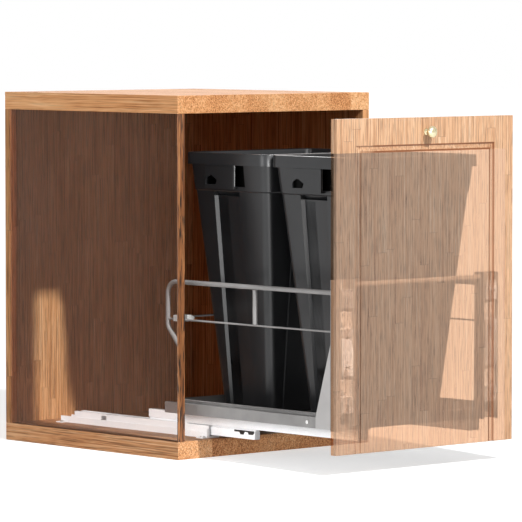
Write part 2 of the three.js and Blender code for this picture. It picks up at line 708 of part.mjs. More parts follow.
function carriageBase() {
  for (const [name, side] of SIDES) {
    add(`base_side_rail_${name}`, sideRail(side), GREY_STEEL);
    add(`frame_screw_${name}`, frameScrew(side), ZINC);
  }
  add("front_cross_rail", crossRail(BRACKET_INNER - SEAT, FRONT_CROSS_Y), GREY_STEEL);
  add("rear_cross_rail", crossRail(CARRIAGE_HALF - RAIL_BOTTOM_FLANGE - SEAT, REAR_CROSS_Y), GREY_STEEL);
  add("base_pan", basePan(), GREY_STEEL);
}

// ---------------------------------------------------------------- side loops, struts and wires

const LOOP_FOOT_Y = LOOP_REAR - LOOP_OFFSET;

function sideLoop(side) {
  const at = (y, z) => new THREE.Vector3(side * LOOP_X, y, z);
  const corners = [
    { at: at(LOOP_FOOT_Y, RAIL_TOP + SEAT) },
    { at: at(LOOP_FOOT_Y, RAIL_TOP + LOOP_NECK_LOW), radius: NECK_RADIUS },
    { at: at(LOOP_REAR, RAIL_TOP + LOOP_NECK_HIGH), radius: NECK_RADIUS },
    { at: at(LOOP_REAR, LOOP_TOP), radius: LOOP_CORNER_RADIUS },
    { at: at(BRACKET_REAR + SEAT, LOOP_TOP) },
  ];
  return tube(bent(corners), TUBE_DIAMETER);
}

const STRUT_Y = DOOR_BACK + STRUT_FROM_DOOR;
function strut(side) {
  const top = LOOP_TOP - TUBE_RADIUS - SEAT;
  const base = WIRE_Z + WIRE_RADIUS + SEAT;
  return rod("z", TUBE_DIAMETER, top - base, side * LOOP_X, STRUT_Y, (top + base) / 2);
}

function sideWire(side) {
  const front = BRACKET_REAR + SEAT;
  const rear = LOOP_REAR - TUBE_RADIUS - SEAT;
  return rod("y", WIRE_DIAMETER, rear - front, side * LOOP_X, (front + rear) / 2, WIRE_Z);
}

// The rear wire crosses just above the side wires, held by a clip on each.
const REAR_WIRE_Z = WIRE_Z + WIRE_DIAMETER + SEAT;
const REAR_WIRE_END = CARRIAGE_HALF - CLIP_REACH / 2;
function rearWire() {
  return rod("x", WIRE_DIAMETER, 2 * REAR_WIRE_END, 0, REAR_WIRE_Y, REAR_WIRE_Z);
}

function wireClip(side) {
  const base = WIRE_Z - CLIP_HEIGHT / 2 + WIRE_RADIUS;
  const top = base + CLIP_HEIGHT;
  const outer = CARRIAGE_HALF - SHEET;
  const inner = CARRIAGE_HALF - CLIP_REACH;
  const outline = [
    [outer, base],
    [outer, top],
    [inner + CLIP_CHAMFER, top],
    [inner, top - CLIP_CHAMFER / 2],
    [inner, base + CLIP_CHAMFER / 2],
    [inner + CLIP_CHAMFER, base],
  ];
  const half = CLIP_LENGTH / 2;
  const block = solid(alongY(mirrored(outline, side), REAR_WIRE_Y - half, REAR_WIRE_Y + half));
  const bore = WIRE_DIAMETER + 2 * SEAT;
  const reach = CLIP_REACH / 2 + SEAT;
  return cut(
    block,
    rod("y", bore, 2 * CLIP_LENGTH, side * LOOP_X, REAR_WIRE_Y, WIRE_Z),
    rod("x", bore, reach, side * (inner + reach / 2), REAR_WIRE_Y, REAR_WIRE_Z),
  );
}

function sideLoops() {
  for (const [name, side] of SIDES) {
    add(`side_loop_${name}`, sideLoop(side), GREY_STEEL);
    add(`side_strut_${name}`, strut(side), GREY_STEEL);
    add(`side_wire_${name}`, sideWire(side), GREY_STEEL);
    add(`wire_clip_${name}`, wireClip(side), WHITE_PLASTIC);
  }
  add("rear_wire", rearWire(), GREY_STEEL);
}

// ---------------------------------------------------------------- door brackets

// Upright channel, open to the door, with a hole behind each door screw.
function doorBracket(side) {
  const outer = CARRIAGE_HALF;
  const inner = BRACKET_INNER;
  const hull = solid(box(side * inner, side * outer, DOOR_BACK, BRACKET_REAR, BRACKET_BASE, BRACKET_TOP));
  const hollow = box(
    side * (inner + SHEET),
    side * (outer - SHEET),
    DOOR_BACK - SHEET,
    BRACKET_REAR - SHEET,
    BRACKET_BASE - SHEET,
    BRACKET_TOP + SHEET,
  );
  const holes = DOOR_SCREW_ROWS.map((z) =>
    rod("y", ACCESS_HOLE, 4 * SHEET, side * BRACKET_MIDDLE, BRACKET_REAR, z, ROUND),
  );
  return cut(hull, hollow, ...holes);
}

// Plate that joins bracket and door: a strip with three pads that bear on the door.
function adjusterPlate(side) {
  const outer = CARRIAGE_HALF - SHEET - SEAT;
  const inner = BRACKET_INNER + SHEET + SEAT;
  const base = PAD_ROWS[0].base;
  const top = PAD_ROWS[2].top;
  const strip = box(side * inner, side * outer, STRIP_FRONT, STRIP_FRONT + ADJUSTER_STRIP, base, top);
  const padInner = side * (inner + PAD_SIDE);
  const padOuter = side * (outer - PAD_SIDE);
  const pads = PAD_ROWS.map((row) =>
    box(padInner, padOuter, DOOR_BACK, STRIP_FRONT + SEAT, row.base, row.top),
  );
  const tongueX = outer - PAD_SIDE - 2 * TONGUE_WIDTH;
  const tongue = box(
    side * tongueX,
    side * (tongueX + TONGUE_WIDTH),
    STRIP_FRONT,
    STRIP_FRONT + ADJUSTER_STRIP,
    top - SHEET,
    top + TONGUE_HEIGHT,
  );
  const through = 2 * (PAD_DEPTH + ADJUSTER_STRIP);
  const middle = PAD_ROWS[1];
  const slots = [middle.base + PAD_SLOT_FROM_END, middle.top - PAD_SLOT_FROM_END].map((z) =>
    box(
      side * (BRACKET_MIDDLE - PAD_SLOT_LENGTH / 2),
      side * (BRACKET_MIDDLE + PAD_SLOT_LENGTH / 2),
      DOOR_BACK - SHEET,
      DOOR_BACK + through,
      z - PAD_SLOT_HEIGHT / 2,
      z + PAD_SLOT_HEIGHT / 2,
    ),
  );
  const hole = SCREW_DIAMETER + 2 * SCREW_CLEARANCE;
  const spareHole = middle.base + PAD_SLOT_FROM_END + SPARE_HOLE_RISE;
  const spare = rod("y", PAD_SLOT_HEIGHT, through, side * BRACKET_MIDDLE, DOOR_BACK, spareHole);
  const holes = DOOR_SCREW_ROWS.map((z) => rod("y", hole, 2 * through, side * BRACKET_MIDDLE, DOOR_BACK, z));
  return cut(join(strip, ...pads, tongue), ...slots, spare, ...holes);
}

// Cam block between two pads: a base, a slotted head and a smaller pin above it.
function camAdjuster(side, middleZ) {
  const outer = CARRIAGE_HALF - SHEET - SEAT - PAD_SIDE;
  const x = side * (outer - CAM_WIDTH / 2);
  const back = STRIP_FRONT - SEAT;
  const face = back - CAM_BASE;
  const half = CAM_HEIGHT / 2;
  const base = box(x - CAM_WIDTH / 2, x + CAM_WIDTH / 2, face, back, middleZ - half, middleZ + half);
  const headZ = middleZ - half + CAM_HEAD_DIAMETER / 2 + CAM_SLOT;
  const pinZ = middleZ + half - CAM_PIN_DIAMETER / 2 - CAM_SLOT;
  const rise = CAM_RISE + CAM_BASE / 2;
  const y = face - CAM_RISE + rise / 2;
  const head = rod("y", CAM_HEAD_DIAMETER, rise, x, y, headZ, ROUND);
  const pin = rod("y", CAM_PIN_DIAMETER, rise, x, y, pinZ);
  const slot = box(
    x - CAM_HEAD_DIAMETER / 2,
    x + CAM_HEAD_DIAMETER / 2,
    face - 2 * CAM_RISE,
    face - CAM_RISE / 2,
    headZ - CAM_SLOT / 2,
    headZ + CAM_SLOT / 2,
  );
  return cut(join(base, head, pin), slot);
}

function doorScrew(side, z) {
  const seat = STRIP_FRONT + ADJUSTER_STRIP + SEAT;
  const length = seat - DOOR_BACK + DOOR_SCREW_GRIP;
  const x = side * BRACKET_MIDDLE;
  return join(
    rod("y", SCREW_DIAMETER, length + SHEET / 2, x, seat - length / 2 + SHEET / 4, z),
    rod("y", SCREW_HEAD_DIAMETER, SCREW_HEAD_HEIGHT, x, seat + SCREW_HEAD_HEIGHT / 2, z),
  );
}

function brackets() {
  const camRows = {
    lower: (PAD_ROWS[0].top + PAD_ROWS[1].base) / 2,
    upper: (PAD_ROWS[1].top + PAD_ROWS[2].base) / 2,
  };
  for (const [name, side] of SIDES) {
    add(`door_bracket_${name}`, doorBracket(side), GREY_STEEL);
    add(`adjuster_plate_${name}`, adjusterPlate(side), ZINC);
    for (const [row, z] of Object.entries(camRows)) {
      add(`cam_adjuster_${row}_${name}`, camAdjuster(side, z), ZINC);
    }
    add(`door_screw_lower_${name}`, doorScrew(side, DOOR_SCREW_ROWS[0]), ZINC);
    add(`door_screw_upper_${name}`, doorScrew(side, DOOR_SCREW_ROWS[1]), ZINC);
  }
  const half = BRACKET_INNER - SEAT;
  const bar = rod(
    "x",
    CROSSBAR_DIAMETER,
    2 * half,
    0,
    DOOR_BACK + BRACKET_DEPTH / 2,
    BRACKET_TOP - CROSSBAR_DROP,
    ROUND,
  );
  add("bracket_crossbar", bar, GREY_STEEL);
}

// ---------------------------------------------------------------- door and knob

const KNOB_Z = DOOR_TOP - KNOB_DROP;

// The slab, with a moulding routed into its face that runs out at the bottom edge.
function door() {
  const slab = solid(box(-DOOR_HALF, DOOR_HALF, DOOR_FRONT, DOOR_BACK, DOOR_BOTTOM, DOOR_TOP));
  const floor = DOOR_FRONT + MOULDING_DEPTH;
  const proud = DOOR_FRONT - 1;
  const outerHalf = DOOR_HALF - MOULDING_INSET;
  const outerTop = DOOR_TOP - MOULDING_INSET;
  const below = DOOR_BOTTOM - MOULDING_INSET;
  const routed = solid(box(-outerHalf, outerHalf, proud, floor, below, outerTop));
  const island = (inset, y) => [
    [-outerHalf + inset, y, below - MOULDING_DEPTH],
    [outerHalf - inset, y, below - MOULDING_DEPTH],
    [outerHalf - inset, y, outerTop - inset],
    [-outerHalf + inset, y, outerTop - inset],
  ];
  const slopePerDepth = MOULDING_SLOPE / MOULDING_DEPTH;
  const field = wasm.Manifold.hull([
    ...island(MOULDING_STEP - slopePerDepth, floor + 1),
    ...island(MOULDING_STEP + MOULDING_SLOPE + slopePerDepth, proud),
  ]);
  const depth = DOOR_SCREW_GRIP + SEAT;
  const pilot = SCREW_DIAMETER + 2 * SCREW_CLEARANCE;
  const pilots = SIDES.flatMap(([, side]) =>
    DOOR_SCREW_ROWS.map((z) => rod("y", pilot, 2 * depth, side * BRACKET_MIDDLE, DOOR_BACK, z)),
  );
  const knobHole = KNOB_SCREW_DIAMETER + 2 * SCREW_CLEARANCE;
  const through = rod("y", knobHole, 4 * DOOR_THICKNESS, 0, DOOR_BACK, KNOB_Z);
  return cut(slab.subtract(routed.subtract(field)), ...pilots, through);
}

// Turned knob, hollow along its axis for the screw.
function knob() {
  const foot = KNOB_FOOT_DIAMETER / 2;
  const neck = KNOB_NECK_DIAMETER / 2;
  const head = KNOB_DIAMETER / 2;
  const edge = KNOB_PROJECTION * 0.62;
  const profile = [
    [0, 0],
    [foot, 0],
    [foot, KNOB_PROJECTION * 0.08],
    [neck, KNOB_PROJECTION * 0.2],
    [neck, KNOB_PROJECTION * 0.4],
    [head, edge],
    [head, edge + KNOB_PROJECTION * 0.12],
  ];
  const crown = 5;
  for (let k = 1; k <= crown; k++) {
    const angle = ((k / crown) * Math.PI) / 2;
    const rise = KNOB_PROJECTION - edge - KNOB_PROJECTION * 0.12;
    profile.push([head * Math.cos(angle), KNOB_PROJECTION - rise * (1 - Math.sin(angle))]);
  }
  profile[profile.length - 1][0] = 0;
  const turned = new THREE.LatheGeometry(profile.map(([r, h]) => new THREE.Vector2(r, h)), ROUND)
    .rotateX(Math.PI)
    .translate(0, DOOR_FRONT - SEAT, KNOB_Z);
  const bore = KNOB_SCREW_DIAMETER + 2 * SCREW_CLEARANCE;
  return cut(solid(turned), rod("y", bore, 2 * (KNOB_SCREW_REACH + SEAT), 0, DOOR_FRONT - SEAT, KNOB_Z));
}

function knobScrew() {
  const head = DOOR_BACK + SEAT;
  const tip = DOOR_FRONT - SEAT - KNOB_SCREW_REACH;
  return join(
    rod("y", KNOB_SCREW_DIAMETER, head - tip + SHEET / 2, 0, (head + tip + SHEET / 2) / 2, KNOB_Z),
    rod("y", KNOB_SCREW_HEAD, SCREW_HEAD_HEIGHT, 0, head + SCREW_HEAD_HEIGHT / 2, KNOB_Z),
  );
}

function doorAndKnob() {
  add("door", door(), DOOR_WOOD);
  add("knob", knob(), BRASS);
  add("knob_screw", knobScrew(), ZINC);
}

// ---------------------------------------------------------------- bins

const grown = (wall, by) => ({
  halfX: wall.halfX + by,
  halfY: wall.halfY + by,
  radius: wall.radius + by,
});

// A recess pressed into both side walls, as a block that follows their lean. `grow` widens it by a
// wall's thickness, which gives the inner face of the same recess.
function sideRecess({ length, shift, base, top, depthBase, depthTop }, grow) {
  const proud = BIN_RIM_OVERHANG + BIN_COLLAR_STEP;
  const corners = (side, z, depth) =>
    [-1, 1].flatMap((end) => {
      const y = shift + end * (length / 2 + grow);
      return [
        [side * (binWall(z).halfX - depth - grow), y, z],
        [side * (binWall(z).halfX + proud), y, z],
      ];
    });
  return SIDES.map(([, side]) =>
    wasm.Manifold.hull([
      ...corners(side, base - grow, depthBase),
      ...corners(side, top + grow, depthTop),
    ]),
  ).reduce((sum, block) => sum.add(block));
}

// Raised panel on the front and the rear wall, below the collar.
function endPanels(collarBase) {
  const corners = (end, z) =>
    [-1, 1].flatMap((x) => [
      [x * PANEL_HALF_WIDTH, end * (binWall(z).halfY - BIN_WALL / 2), z],
      [x * PANEL_HALF_WIDTH, end * (binWall(z).halfY + PANEL_RISE), z],
    ]);
  return [-1, 1]
    .map((end) => wasm.Manifold.hull([...corners(end, BIN_BASE), ...corners(end, collarBase)]))
    .reduce((sum, block) => sum.add(block));
}

// Handle that bridges the finger space from a ledge up to the rim, with a hole at its rear foot.
function binHandle(side, base, rimBase) {
  const face = BIN_HALF_X - HANDLE_SETBACK;
  const front = HANDLE_SHIFT - HANDLE_LENGTH / 2;
  const rear = HANDLE_SHIFT + HANDLE_LENGTH / 2;
  const ledge = base + HANDLE_LEDGE;
  const root = binWall(base).halfX - BIN_WALL / 2;
  const inner = face - HANDLE_WALL;
  const left = rear - HANDLE_HOLE_INSET;
  const right = left - HANDLE_HOLE_WIDTH;
  const foot = ledge + HANDLE_HOLE_INSET;
  const outline = [
    [left, foot],
    [left, foot + HANDLE_HOLE_HEIGHT / 2],
    [(left + right) / 2, foot + HANDLE_HOLE_HEIGHT],
    [right, foot + HANDLE_HOLE_HEIGHT / 2],
    [right + HANDLE_HOLE_INSET, foot],
  ];
  const plate = box(side * inner, side * face, front, rear, base, rimBase + SEAT);
  const shelf = box(side * root, side * (inner + SEAT), front, rear, base, ledge);
  return cut(join(plate, shelf), alongX(outline, side * (inner - SEAT), side * (face + SEAT)));
}

function bin(middleY) {
  const rimBase = BIN_TOP - BIN_RIM_HEIGHT;
  const collarBase = rimBase - BIN_COLLAR_HEIGHT;
  const handleBase = rimBase - HANDLE_HEIGHT;
  const ledge = handleBase + HANDLE_LEDGE;
  const rim = { halfX: BIN_HALF_X, halfY: BIN_HALF_Y, radius: BIN_CORNER_RADIUS };
  const outside = loft([
    { ...binWall(BIN_BASE), z: BIN_BASE },
    { ...binWall(collarBase), z: collarBase },
    { ...grown(binWall(collarBase), BIN_COLLAR_STEP), z: collarBase + BIN_COLLAR_STEP },
    { ...grown(binWall(rimBase), BIN_COLLAR_STEP), z: rimBase },
    { ...rim, z: rimBase },
    { ...rim, z: BIN_TOP - BIN_RIM_ROUNDING },
    { ...grown(rim, -BIN_RIM_ROUNDING), z: BIN_TOP },
  ]);
  const above = BIN_TOP + BIN_WALL;
  const floor = BIN_BASE + BIN_WALL;
  const inside = loft([
    { ...grown(binWall(floor), -BIN_WALL), z: floor },
    { ...grown(binWall(above), -BIN_WALL), z: above },
  ]);
  const fingerFloor = BIN_HALF_X - HANDLE_SETBACK - HANDLE_WALL - FINGER_SPACE;
  const recesses = [
    {
      length: FINGER_SPACE_LENGTH,
      shift: FINGER_SPACE_SHIFT,
      base: ledge,
      top: rimBase,
      depthBase: binWall(ledge).halfX - fingerFloor,
      depthTop: binWall(rimBase).halfX - fingerFloor,
    },
    {
      length: FLUTE_LENGTH,
      shift: FLUTE_SHIFT,
      base: BIN_BASE - 2 * BIN_WALL,
      top: collarBase,
      depthBase: FLUTE_DEPTH_FOOT,
      depthTop: FLUTE_DEPTH_TOP,
    },
    {
      length: FLUTE_LENGTH,
      shift: FLUTE_SHIFT,
      base: collarBase - FLUTE_SLOT_HEIGHT,
      top: collarBase,
      depthBase: FLUTE_SLOT_DEPTH,
      depthTop: FLUTE_SLOT_DEPTH,
    },
  ];
  const body = recesses.reduce(
    (rest, recess) => rest.subtract(sideRecess(recess, 0)),
    solid(outside).add(endPanels(collarBase)),
  );
  const hollow = recesses.reduce(
    (rest, recess) => rest.subtract(sideRecess(recess, BIN_WALL)),
    solid(inside),
  );
  return SIDES.reduce((sum, [, side]) => sum.add(binHandle(side, handleBase, rimBase)), body)
    .subtract(hollow)
    .translate([0, middleY, 0]);
}

function bins() {
  add("front_bin", bin(FRONT_BIN_Y), BLACK_PLASTIC);
  add("rear_bin", bin(REAR_BIN_Y), BLACK_PLASTIC);
}

cabinetBox();
slides();
carriageBase();
sideLoops();
brackets();
doorAndKnob();
bins();

export default cabinet;
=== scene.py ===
# %% [markdown]
# # A pull-out trash cabinet
# The object is a wooden base cabinet whose door draws out a steel carriage with two black bins. Its
# working model already exists, with every piece at its real size. This lesson dresses that model: it
# lays finer surfaces over the pieces that are seen closely, and mixes a finish for each material.

# %% Load the working model
import bpy
import bmesh
import numpy as np
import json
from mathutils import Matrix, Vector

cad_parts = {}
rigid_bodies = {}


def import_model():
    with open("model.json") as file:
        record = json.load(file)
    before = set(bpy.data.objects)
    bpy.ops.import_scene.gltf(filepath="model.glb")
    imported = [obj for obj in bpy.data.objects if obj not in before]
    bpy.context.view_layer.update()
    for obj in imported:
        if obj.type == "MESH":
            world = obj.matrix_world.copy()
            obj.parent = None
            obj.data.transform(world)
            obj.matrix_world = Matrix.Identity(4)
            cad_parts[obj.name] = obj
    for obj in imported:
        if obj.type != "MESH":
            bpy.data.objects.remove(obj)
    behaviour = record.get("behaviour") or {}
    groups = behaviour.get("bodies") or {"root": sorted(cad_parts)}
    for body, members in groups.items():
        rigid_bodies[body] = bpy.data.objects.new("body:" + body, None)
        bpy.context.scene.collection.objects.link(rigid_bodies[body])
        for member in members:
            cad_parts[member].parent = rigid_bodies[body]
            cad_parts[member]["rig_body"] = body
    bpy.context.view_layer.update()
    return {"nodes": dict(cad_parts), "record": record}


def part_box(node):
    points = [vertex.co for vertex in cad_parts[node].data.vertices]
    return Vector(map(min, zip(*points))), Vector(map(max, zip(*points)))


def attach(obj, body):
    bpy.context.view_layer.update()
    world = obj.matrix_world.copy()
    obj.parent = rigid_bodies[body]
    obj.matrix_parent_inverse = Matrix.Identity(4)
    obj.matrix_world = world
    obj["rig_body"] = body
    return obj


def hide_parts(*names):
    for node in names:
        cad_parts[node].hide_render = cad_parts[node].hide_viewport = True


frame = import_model()

# %% [markdown]
# ## The camera
# The picture is a studio view from far off with a long lens: upright lines stay upright and the
# cabinet's depth is hardly foreshortened. The camera stands in front and to the left, a little above
# the cabinet's top, and looks down by a few degrees.

# %% Camera
CAMERA_PLACE = (-6.0084, -6.8806, 0.9365)
CAMERA_TURN = np.radians((86.599, 0.0, -42.146))
LENS_MM = 289.44
SENSOR_MM = 36.0


def in_scene(name, data):
    """A new object that shows a camera, a mesh or a lamp, put into the scene."""
    made = bpy.data.objects.new(name, data)
    bpy.context.scene.collection.objects.link(made)
    return made


camera = in_scene("camera", bpy.data.cameras.new("camera"))
camera.location = CAMERA_PLACE
camera.rotation_euler = CAMERA_TURN
camera.data.lens, camera.data.sensor_width = LENS_MM, SENSOR_MM
bpy.context.scene.camera = camera
print("camera", round(np.linalg.norm(CAMERA_PLACE), 2), "m from the cabinet's foot")

# %% [markdown]
# ## Colours and nodes
# Colours are read off as sRGB hex, the way a paint chart gives them, but a shader works in linear
# light, so one function turns the first into the second. Another adds a node with its settings and its
# links, and each finish below reads as a list of layers.

# %% Helpers for finishes
MM = 0.001


def linear(hex_colour):
    """sRGB to linear: c / 12.92 up to 0.04045, and ((c + 0.055) / 1.055) to the power 2.4 above it."""
    c = np.array([int(hex_colour[i:i + 2], 16) for i in (1, 3, 5)]) / 255
    light = np.where(c <= 0.04045, c / 12.92, ((c + 0.055) / 1.055) ** 2.4)
    return (*light, 1.0)


def feed(tree, node, inputs):
    """Sets a node's inputs to values, or links them from a socket or from another node's first output."""
    for name, value in inputs.items():
        if isinstance(value, bpy.types.Node):
            value = value.outputs[0]
        if isinstance(value, bpy.types.NodeSocket):
            tree.links.new(value, node.inputs[name])
        else:
            node.inputs[name].default_value = value


def add(tree, kind, inputs=None, stops=(), **settings):
    """Adds a shader node of a kind. Settings are its own properties, inputs are what it is fed with, and
    stops are the places and hex colours along a colour ramp."""
    made = tree.nodes.new("ShaderNode" + kind)
    for name, value in settings.items():
        setattr(made, name, value)
    feed(tree, made, inputs or {})
    for _ in stops[2:]:
        made.color_ramp.elements.new(0.5)
    for number, (position, colour) in enumerate(stops):
        made.color_ramp.elements[number].position = position
        made.color_ramp.elements[number].color = linear(colour)
    return made


def finish(name):
    """A new material, its tree, its shader and the Object coordinates that its patterns are drawn on."""
    material = bpy.data.materials.new(name)
    material.use_nodes = True
    tree = material.node_tree
    place = add(tree, "TexCoord").outputs["Object"]
    return material, tree, tree.nodes["Principled BSDF"], place


print("middle grey is", round(linear("#808080")[0], 3), "in linear light")

# %% [markdown]
# ## Wood
# The cabinet is veneered in walnut-toned stave board: strips of wood about 20 mm wide and a few hundred
# long, glued side by side, each with its own tone. Here the wood is solid: its pattern fills space, long
# along the grain and narrow across it, so a long face shows streaks and a sawn end shows specks, as on
# real timber. The layers are the stave's own tone, contour lines of slow noise for the growth rings,
# fine fibre streaks, and dark pores.

# %% Layers of the wood
GRAIN_BACK = (0.0, 0.0, -np.pi / 2)  # grain along Y, staves side by side along X
GRAIN_UP_FRONT = (np.pi / 2, 0.0, np.pi / 2)  # grain along Z, staves side by side along X
GRAIN_UP_SIDE = (0.0, np.pi / 2, 0.0)  # grain along Z, staves side by side along Y

# Each layer is noise, stretched this far along the grain and across it (mm), with its detail, roughness
# and distortion. Real fibres and pores are some 0.2 mm wide; here they are 2 to 4 mm, as fine as shows.
WOOD_LAYERS = {
    "figure": (130, 15, 1.0, 0.4, 0.0),
    "fibres": (260, 2.8, 4.0, 0.6, 0.25),
    "drift": (500, 90, 1.0, 0.5, 0.0),
}


def wood_layers(tree, spot, layers):
    """Noise at spot / (length along the grain, width across it, width across it), for each layer."""
    made = {}
    for layer, (length, width, detail, rough, twist) in layers.items():
        scale = [1 / (size * MM) for size in (length, width, width)]
        stretched = add(tree, "Mapping", {"Vector": spot, "Scale": scale})
        noise = {"Vector": stretched, "Scale": 1.0, "Detail": detail, "Roughness": rough}
        made[layer] = add(tree, "TexNoise", noise | {"Distortion": twist})
    return made


# %% Staves
STAVE_TONE, RING_TONE, FIBRE_TONE, DRIFT_TONE = 0.16, 0.12, 1.7, 0.5  # how far each layer sways the tone
RINGS = 9.0  # contour lines over the whole range of the figure's noise
PORE_EDGE = (0.38, 0.5)  # noise at which a pore is darkest, and at which it ends
SEAM_WIDTH, SEAM_SHADE = 0.8 * MM, 0.6
GLOSS = (0.58, 0.44)  # roughness in the pores and on the plain wood
RELIEF, RELIEF_DEPTH = 0.25, 0.3 * MM


def staves(tree, turned, length, width):
    """Across the grain each strip has its own number. Along it the strip is shifted by a share that its
    number gives and cut into lengths. Gives the place along, and a random colour for each stave."""
    axes = add(tree, "SeparateXYZ", {0: turned}).outputs
    strip = add(tree, "Math", {0: axes["Y"], 1: width}, operation="SNAP")
    shift = add(tree, "TexWhiteNoise", {"W": strip}, noise_dimensions="1D")
    along = add(tree, "Math", {0: axes["X"], 1: 1 / length, 2: shift}, operation="MULTIPLY_ADD")
    number = add(tree, "Math", {0: along}, operation="FLOOR")
    cell = add(tree, "CombineXYZ", {"X": number, "Y": strip})
    return along, add(tree, "TexWhiteNoise", {"Vector": cell}, noise_dimensions="3D").outputs


def stave_board(name, lay, tones, seed, stave=(320, 21), pore=(90, 2.4), dark=0.3, mottle=1.0, shine=0.5):
    """Stave-glued board: tone = 0.5 + the sum of each layer's weight * (layer - 0.5), darkened at pores
    and at the joints between staves. Sizes are in mm, along the grain and across it."""
    material, tree, shader, place = finish(name)
    length, width = stave[0] * MM, stave[1] * MM
    turned = add(tree, "Mapping", {"Vector": place, "Rotation": lay, "Location": (seed, seed, seed)})
    along, random = staves(tree, turned, length, width)
    spot = add(tree, "VectorMath", {0: turned, 1: random["Color"]}, operation="ADD")
    layer = wood_layers(tree, spot, {**WOOD_LAYERS, "pores": (*pore, 2.0, 0.6, 0.0)})
    rings = add(tree, "Math", {0: layer["figure"], 1: RINGS}, operation="MULTIPLY")
    rings = add(tree, "Math", {0: rings, 1: 1.0}, operation="PINGPONG")
    weights = [(random["Value"], STAVE_TONE * mottle), (rings, RING_TONE)]
    weights += [(layer["fibres"], FIBRE_TONE), (layer["drift"], DRIFT_TONE * mottle)]
    tone = 0.5 - 0.5 * sum(weight for _, weight in weights)
    for value, weight in weights:
        tone = add(tree, "Math", {0: value, 1: weight, 2: tone}, operation="MULTIPLY_ADD")
    spots = {0: layer["pores"], 1: PORE_EDGE[0], 2: PORE_EDGE[1], 3: 1 - dark, 4: 1.0}
    end = add(tree, "Math", {0: along, 1: 0.5}, operation="PINGPONG")
    seam = add(tree, "MapRange", {0: end, 1: 0.0, 2: SEAM_WIDTH / length, 3: SEAM_SHADE, 4: 1.0})
    shade = add(tree, "Math", {0: add(tree, "MapRange", spots), 1: seam}, operation="MULTIPLY")
    wood = add(tree, "ValToRGB", {"Fac": tone}, stops=tones)
    shaded = {0: 1.0, 6: wood, 7: shade}
    shaded = add(tree, "Mix", shaded, data_type="RGBA", blend_type="MULTIPLY").outputs[2]
    relief = add(tree, "Bump", {"Height": shade, "Strength": RELIEF, "Distance": RELIEF_DEPTH})
    gloss = add(tree, "MapRange", {0: layer["pores"], 3: GLOSS[0], 4: GLOSS[1]})
    feed(tree, shader, {"Base Color": shaded, "Normal": relief})
    feed(tree, shader, {"Roughness": gloss, "Specular IOR Level": shine})
    return material


# %% Wood finishes
WALNUT = ((0.1, "#8a5230"), (0.35, "#c98a58"), (0.6, "#e2a976"), (0.9, "#f3c698"))
WALNUT_PLAIN = ((0.1, "#a86c42"), (0.35, "#d3965f"), (0.6, "#e9b07a"), (0.9, "#f6cb9d"))
WALNUT_DARK = ((0.1, "#3a1e0e"), (0.4, "#7c4a28"), (0.65, "#a56c40"), (0.95, "#d39c68"))
WALNUT_LOW = ((0.1, "#6f3f22"), (0.35, "#ad744a"), (0.6, "#c79264"), (0.9, "#dcb087"))
OAK = ((0.1, "#9c6a49"), (0.4, "#c3956f"), (0.6, "#cfa581"), (0.9, "#dabb9d"))

# Walnut veneer under satin lacquer, brushed along the grain: warm streaks with a broad, low sheen.
slab = {"stave": (20000, 60), "pore": (90, 3.2), "seed": 3.1, "dark": 0.2, "shine": 0.08}
slab_wood = stave_board("slab_walnut_satin", GRAIN_BACK, WALNUT, **slab)
slab |= {"stave": (900, 60), "seed": 8.4, "dark": 0.45, "shine": 0.15}
base_wood = stave_board("base_walnut_satin", GRAIN_BACK, WALNUT_LOW, **slab)
# The same veneer under matt lacquer, as inside a cabinet: streaks that stay plain in the shade.
back = {"pore": (70, 3.0), "seed": 1.7, "dark": 0.4, "shine": 0.2}
back_wood = stave_board("back_walnut_matt", GRAIN_UP_FRONT, WALNUT_PLAIN, **back)
side_wood = stave_board("side_walnut_matt", GRAIN_UP_SIDE, WALNUT, seed=5.3, mottle=0.6, shine=0.2)
# Heartwood lipping, sawn from the dark middle of the trunk: deep brown pores, almost black in places.
strip = {"stave": (240, 40), "pore": (40, 3.4), "seed": 0.43, "dark": 0.95}
strip_wood = stave_board("edge_strip_walnut", GRAIN_UP_FRONT, WALNUT_DARK, **strip)
print(len(bpy.data.materials), "wood finishes")

# %% [markdown]
# ## See-through boards
# The left side and the door are see-through, so that what they hide can be seen. The door is oak, and
# what shows through takes on oak's colour, as in a thin amber film. An Alpha number alone would bleach
# it, so each face mixes the wood with a tinted Transparent shader, most wood on the lit front. A ray
# passes two faces, so the tint is that of one. The rail above the moulding and the door's right edge
# have nothing to show behind them, and stay solid. Only the eye passes: to the lamps both are whole
# boards, and the inside of the cabinet keeps its natural shade.

# %% Oak door
FACE_SHARE = (0.05, 0.46)  # how much of the rear and of the front face is wood
FACE_TINT = "#f4dac4"
INSET = 55 * MM  # from the door's edges to the outer line of its routed moulding
MOULDING_WIDTH = 14 * MM
SOLID_EDGE = 22 * MM  # the right stile beyond the bracket


def place_of(node):
    """Lowest and highest corner of a working piece, as arrays in metres."""
    return (np.array(corner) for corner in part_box(node))


# Oak veneer, sanded and oiled: pale, even strips with fine broken pores and hardly any gloss.
oak = {"stave": (300, 24), "pore": (45, 1.9), "seed": 2.2, "dark": 0.4, "mottle": 0.5}
door_wood = stave_board("oak_oiled_see_through", GRAIN_UP_FRONT, OAK, **oak)
tree = door_wood.node_tree
shader = tree.nodes["Principled BSDF"]
door_low, door_high = place_of("door")
place = add(tree, "TexCoord").outputs["Object"]
place = add(tree, "SeparateXYZ", {0: place}).outputs
face = add(tree, "Math", {0: place["Y"], 1: (door_low[1] + door_high[1]) / 2}, operation="LESS_THAN")
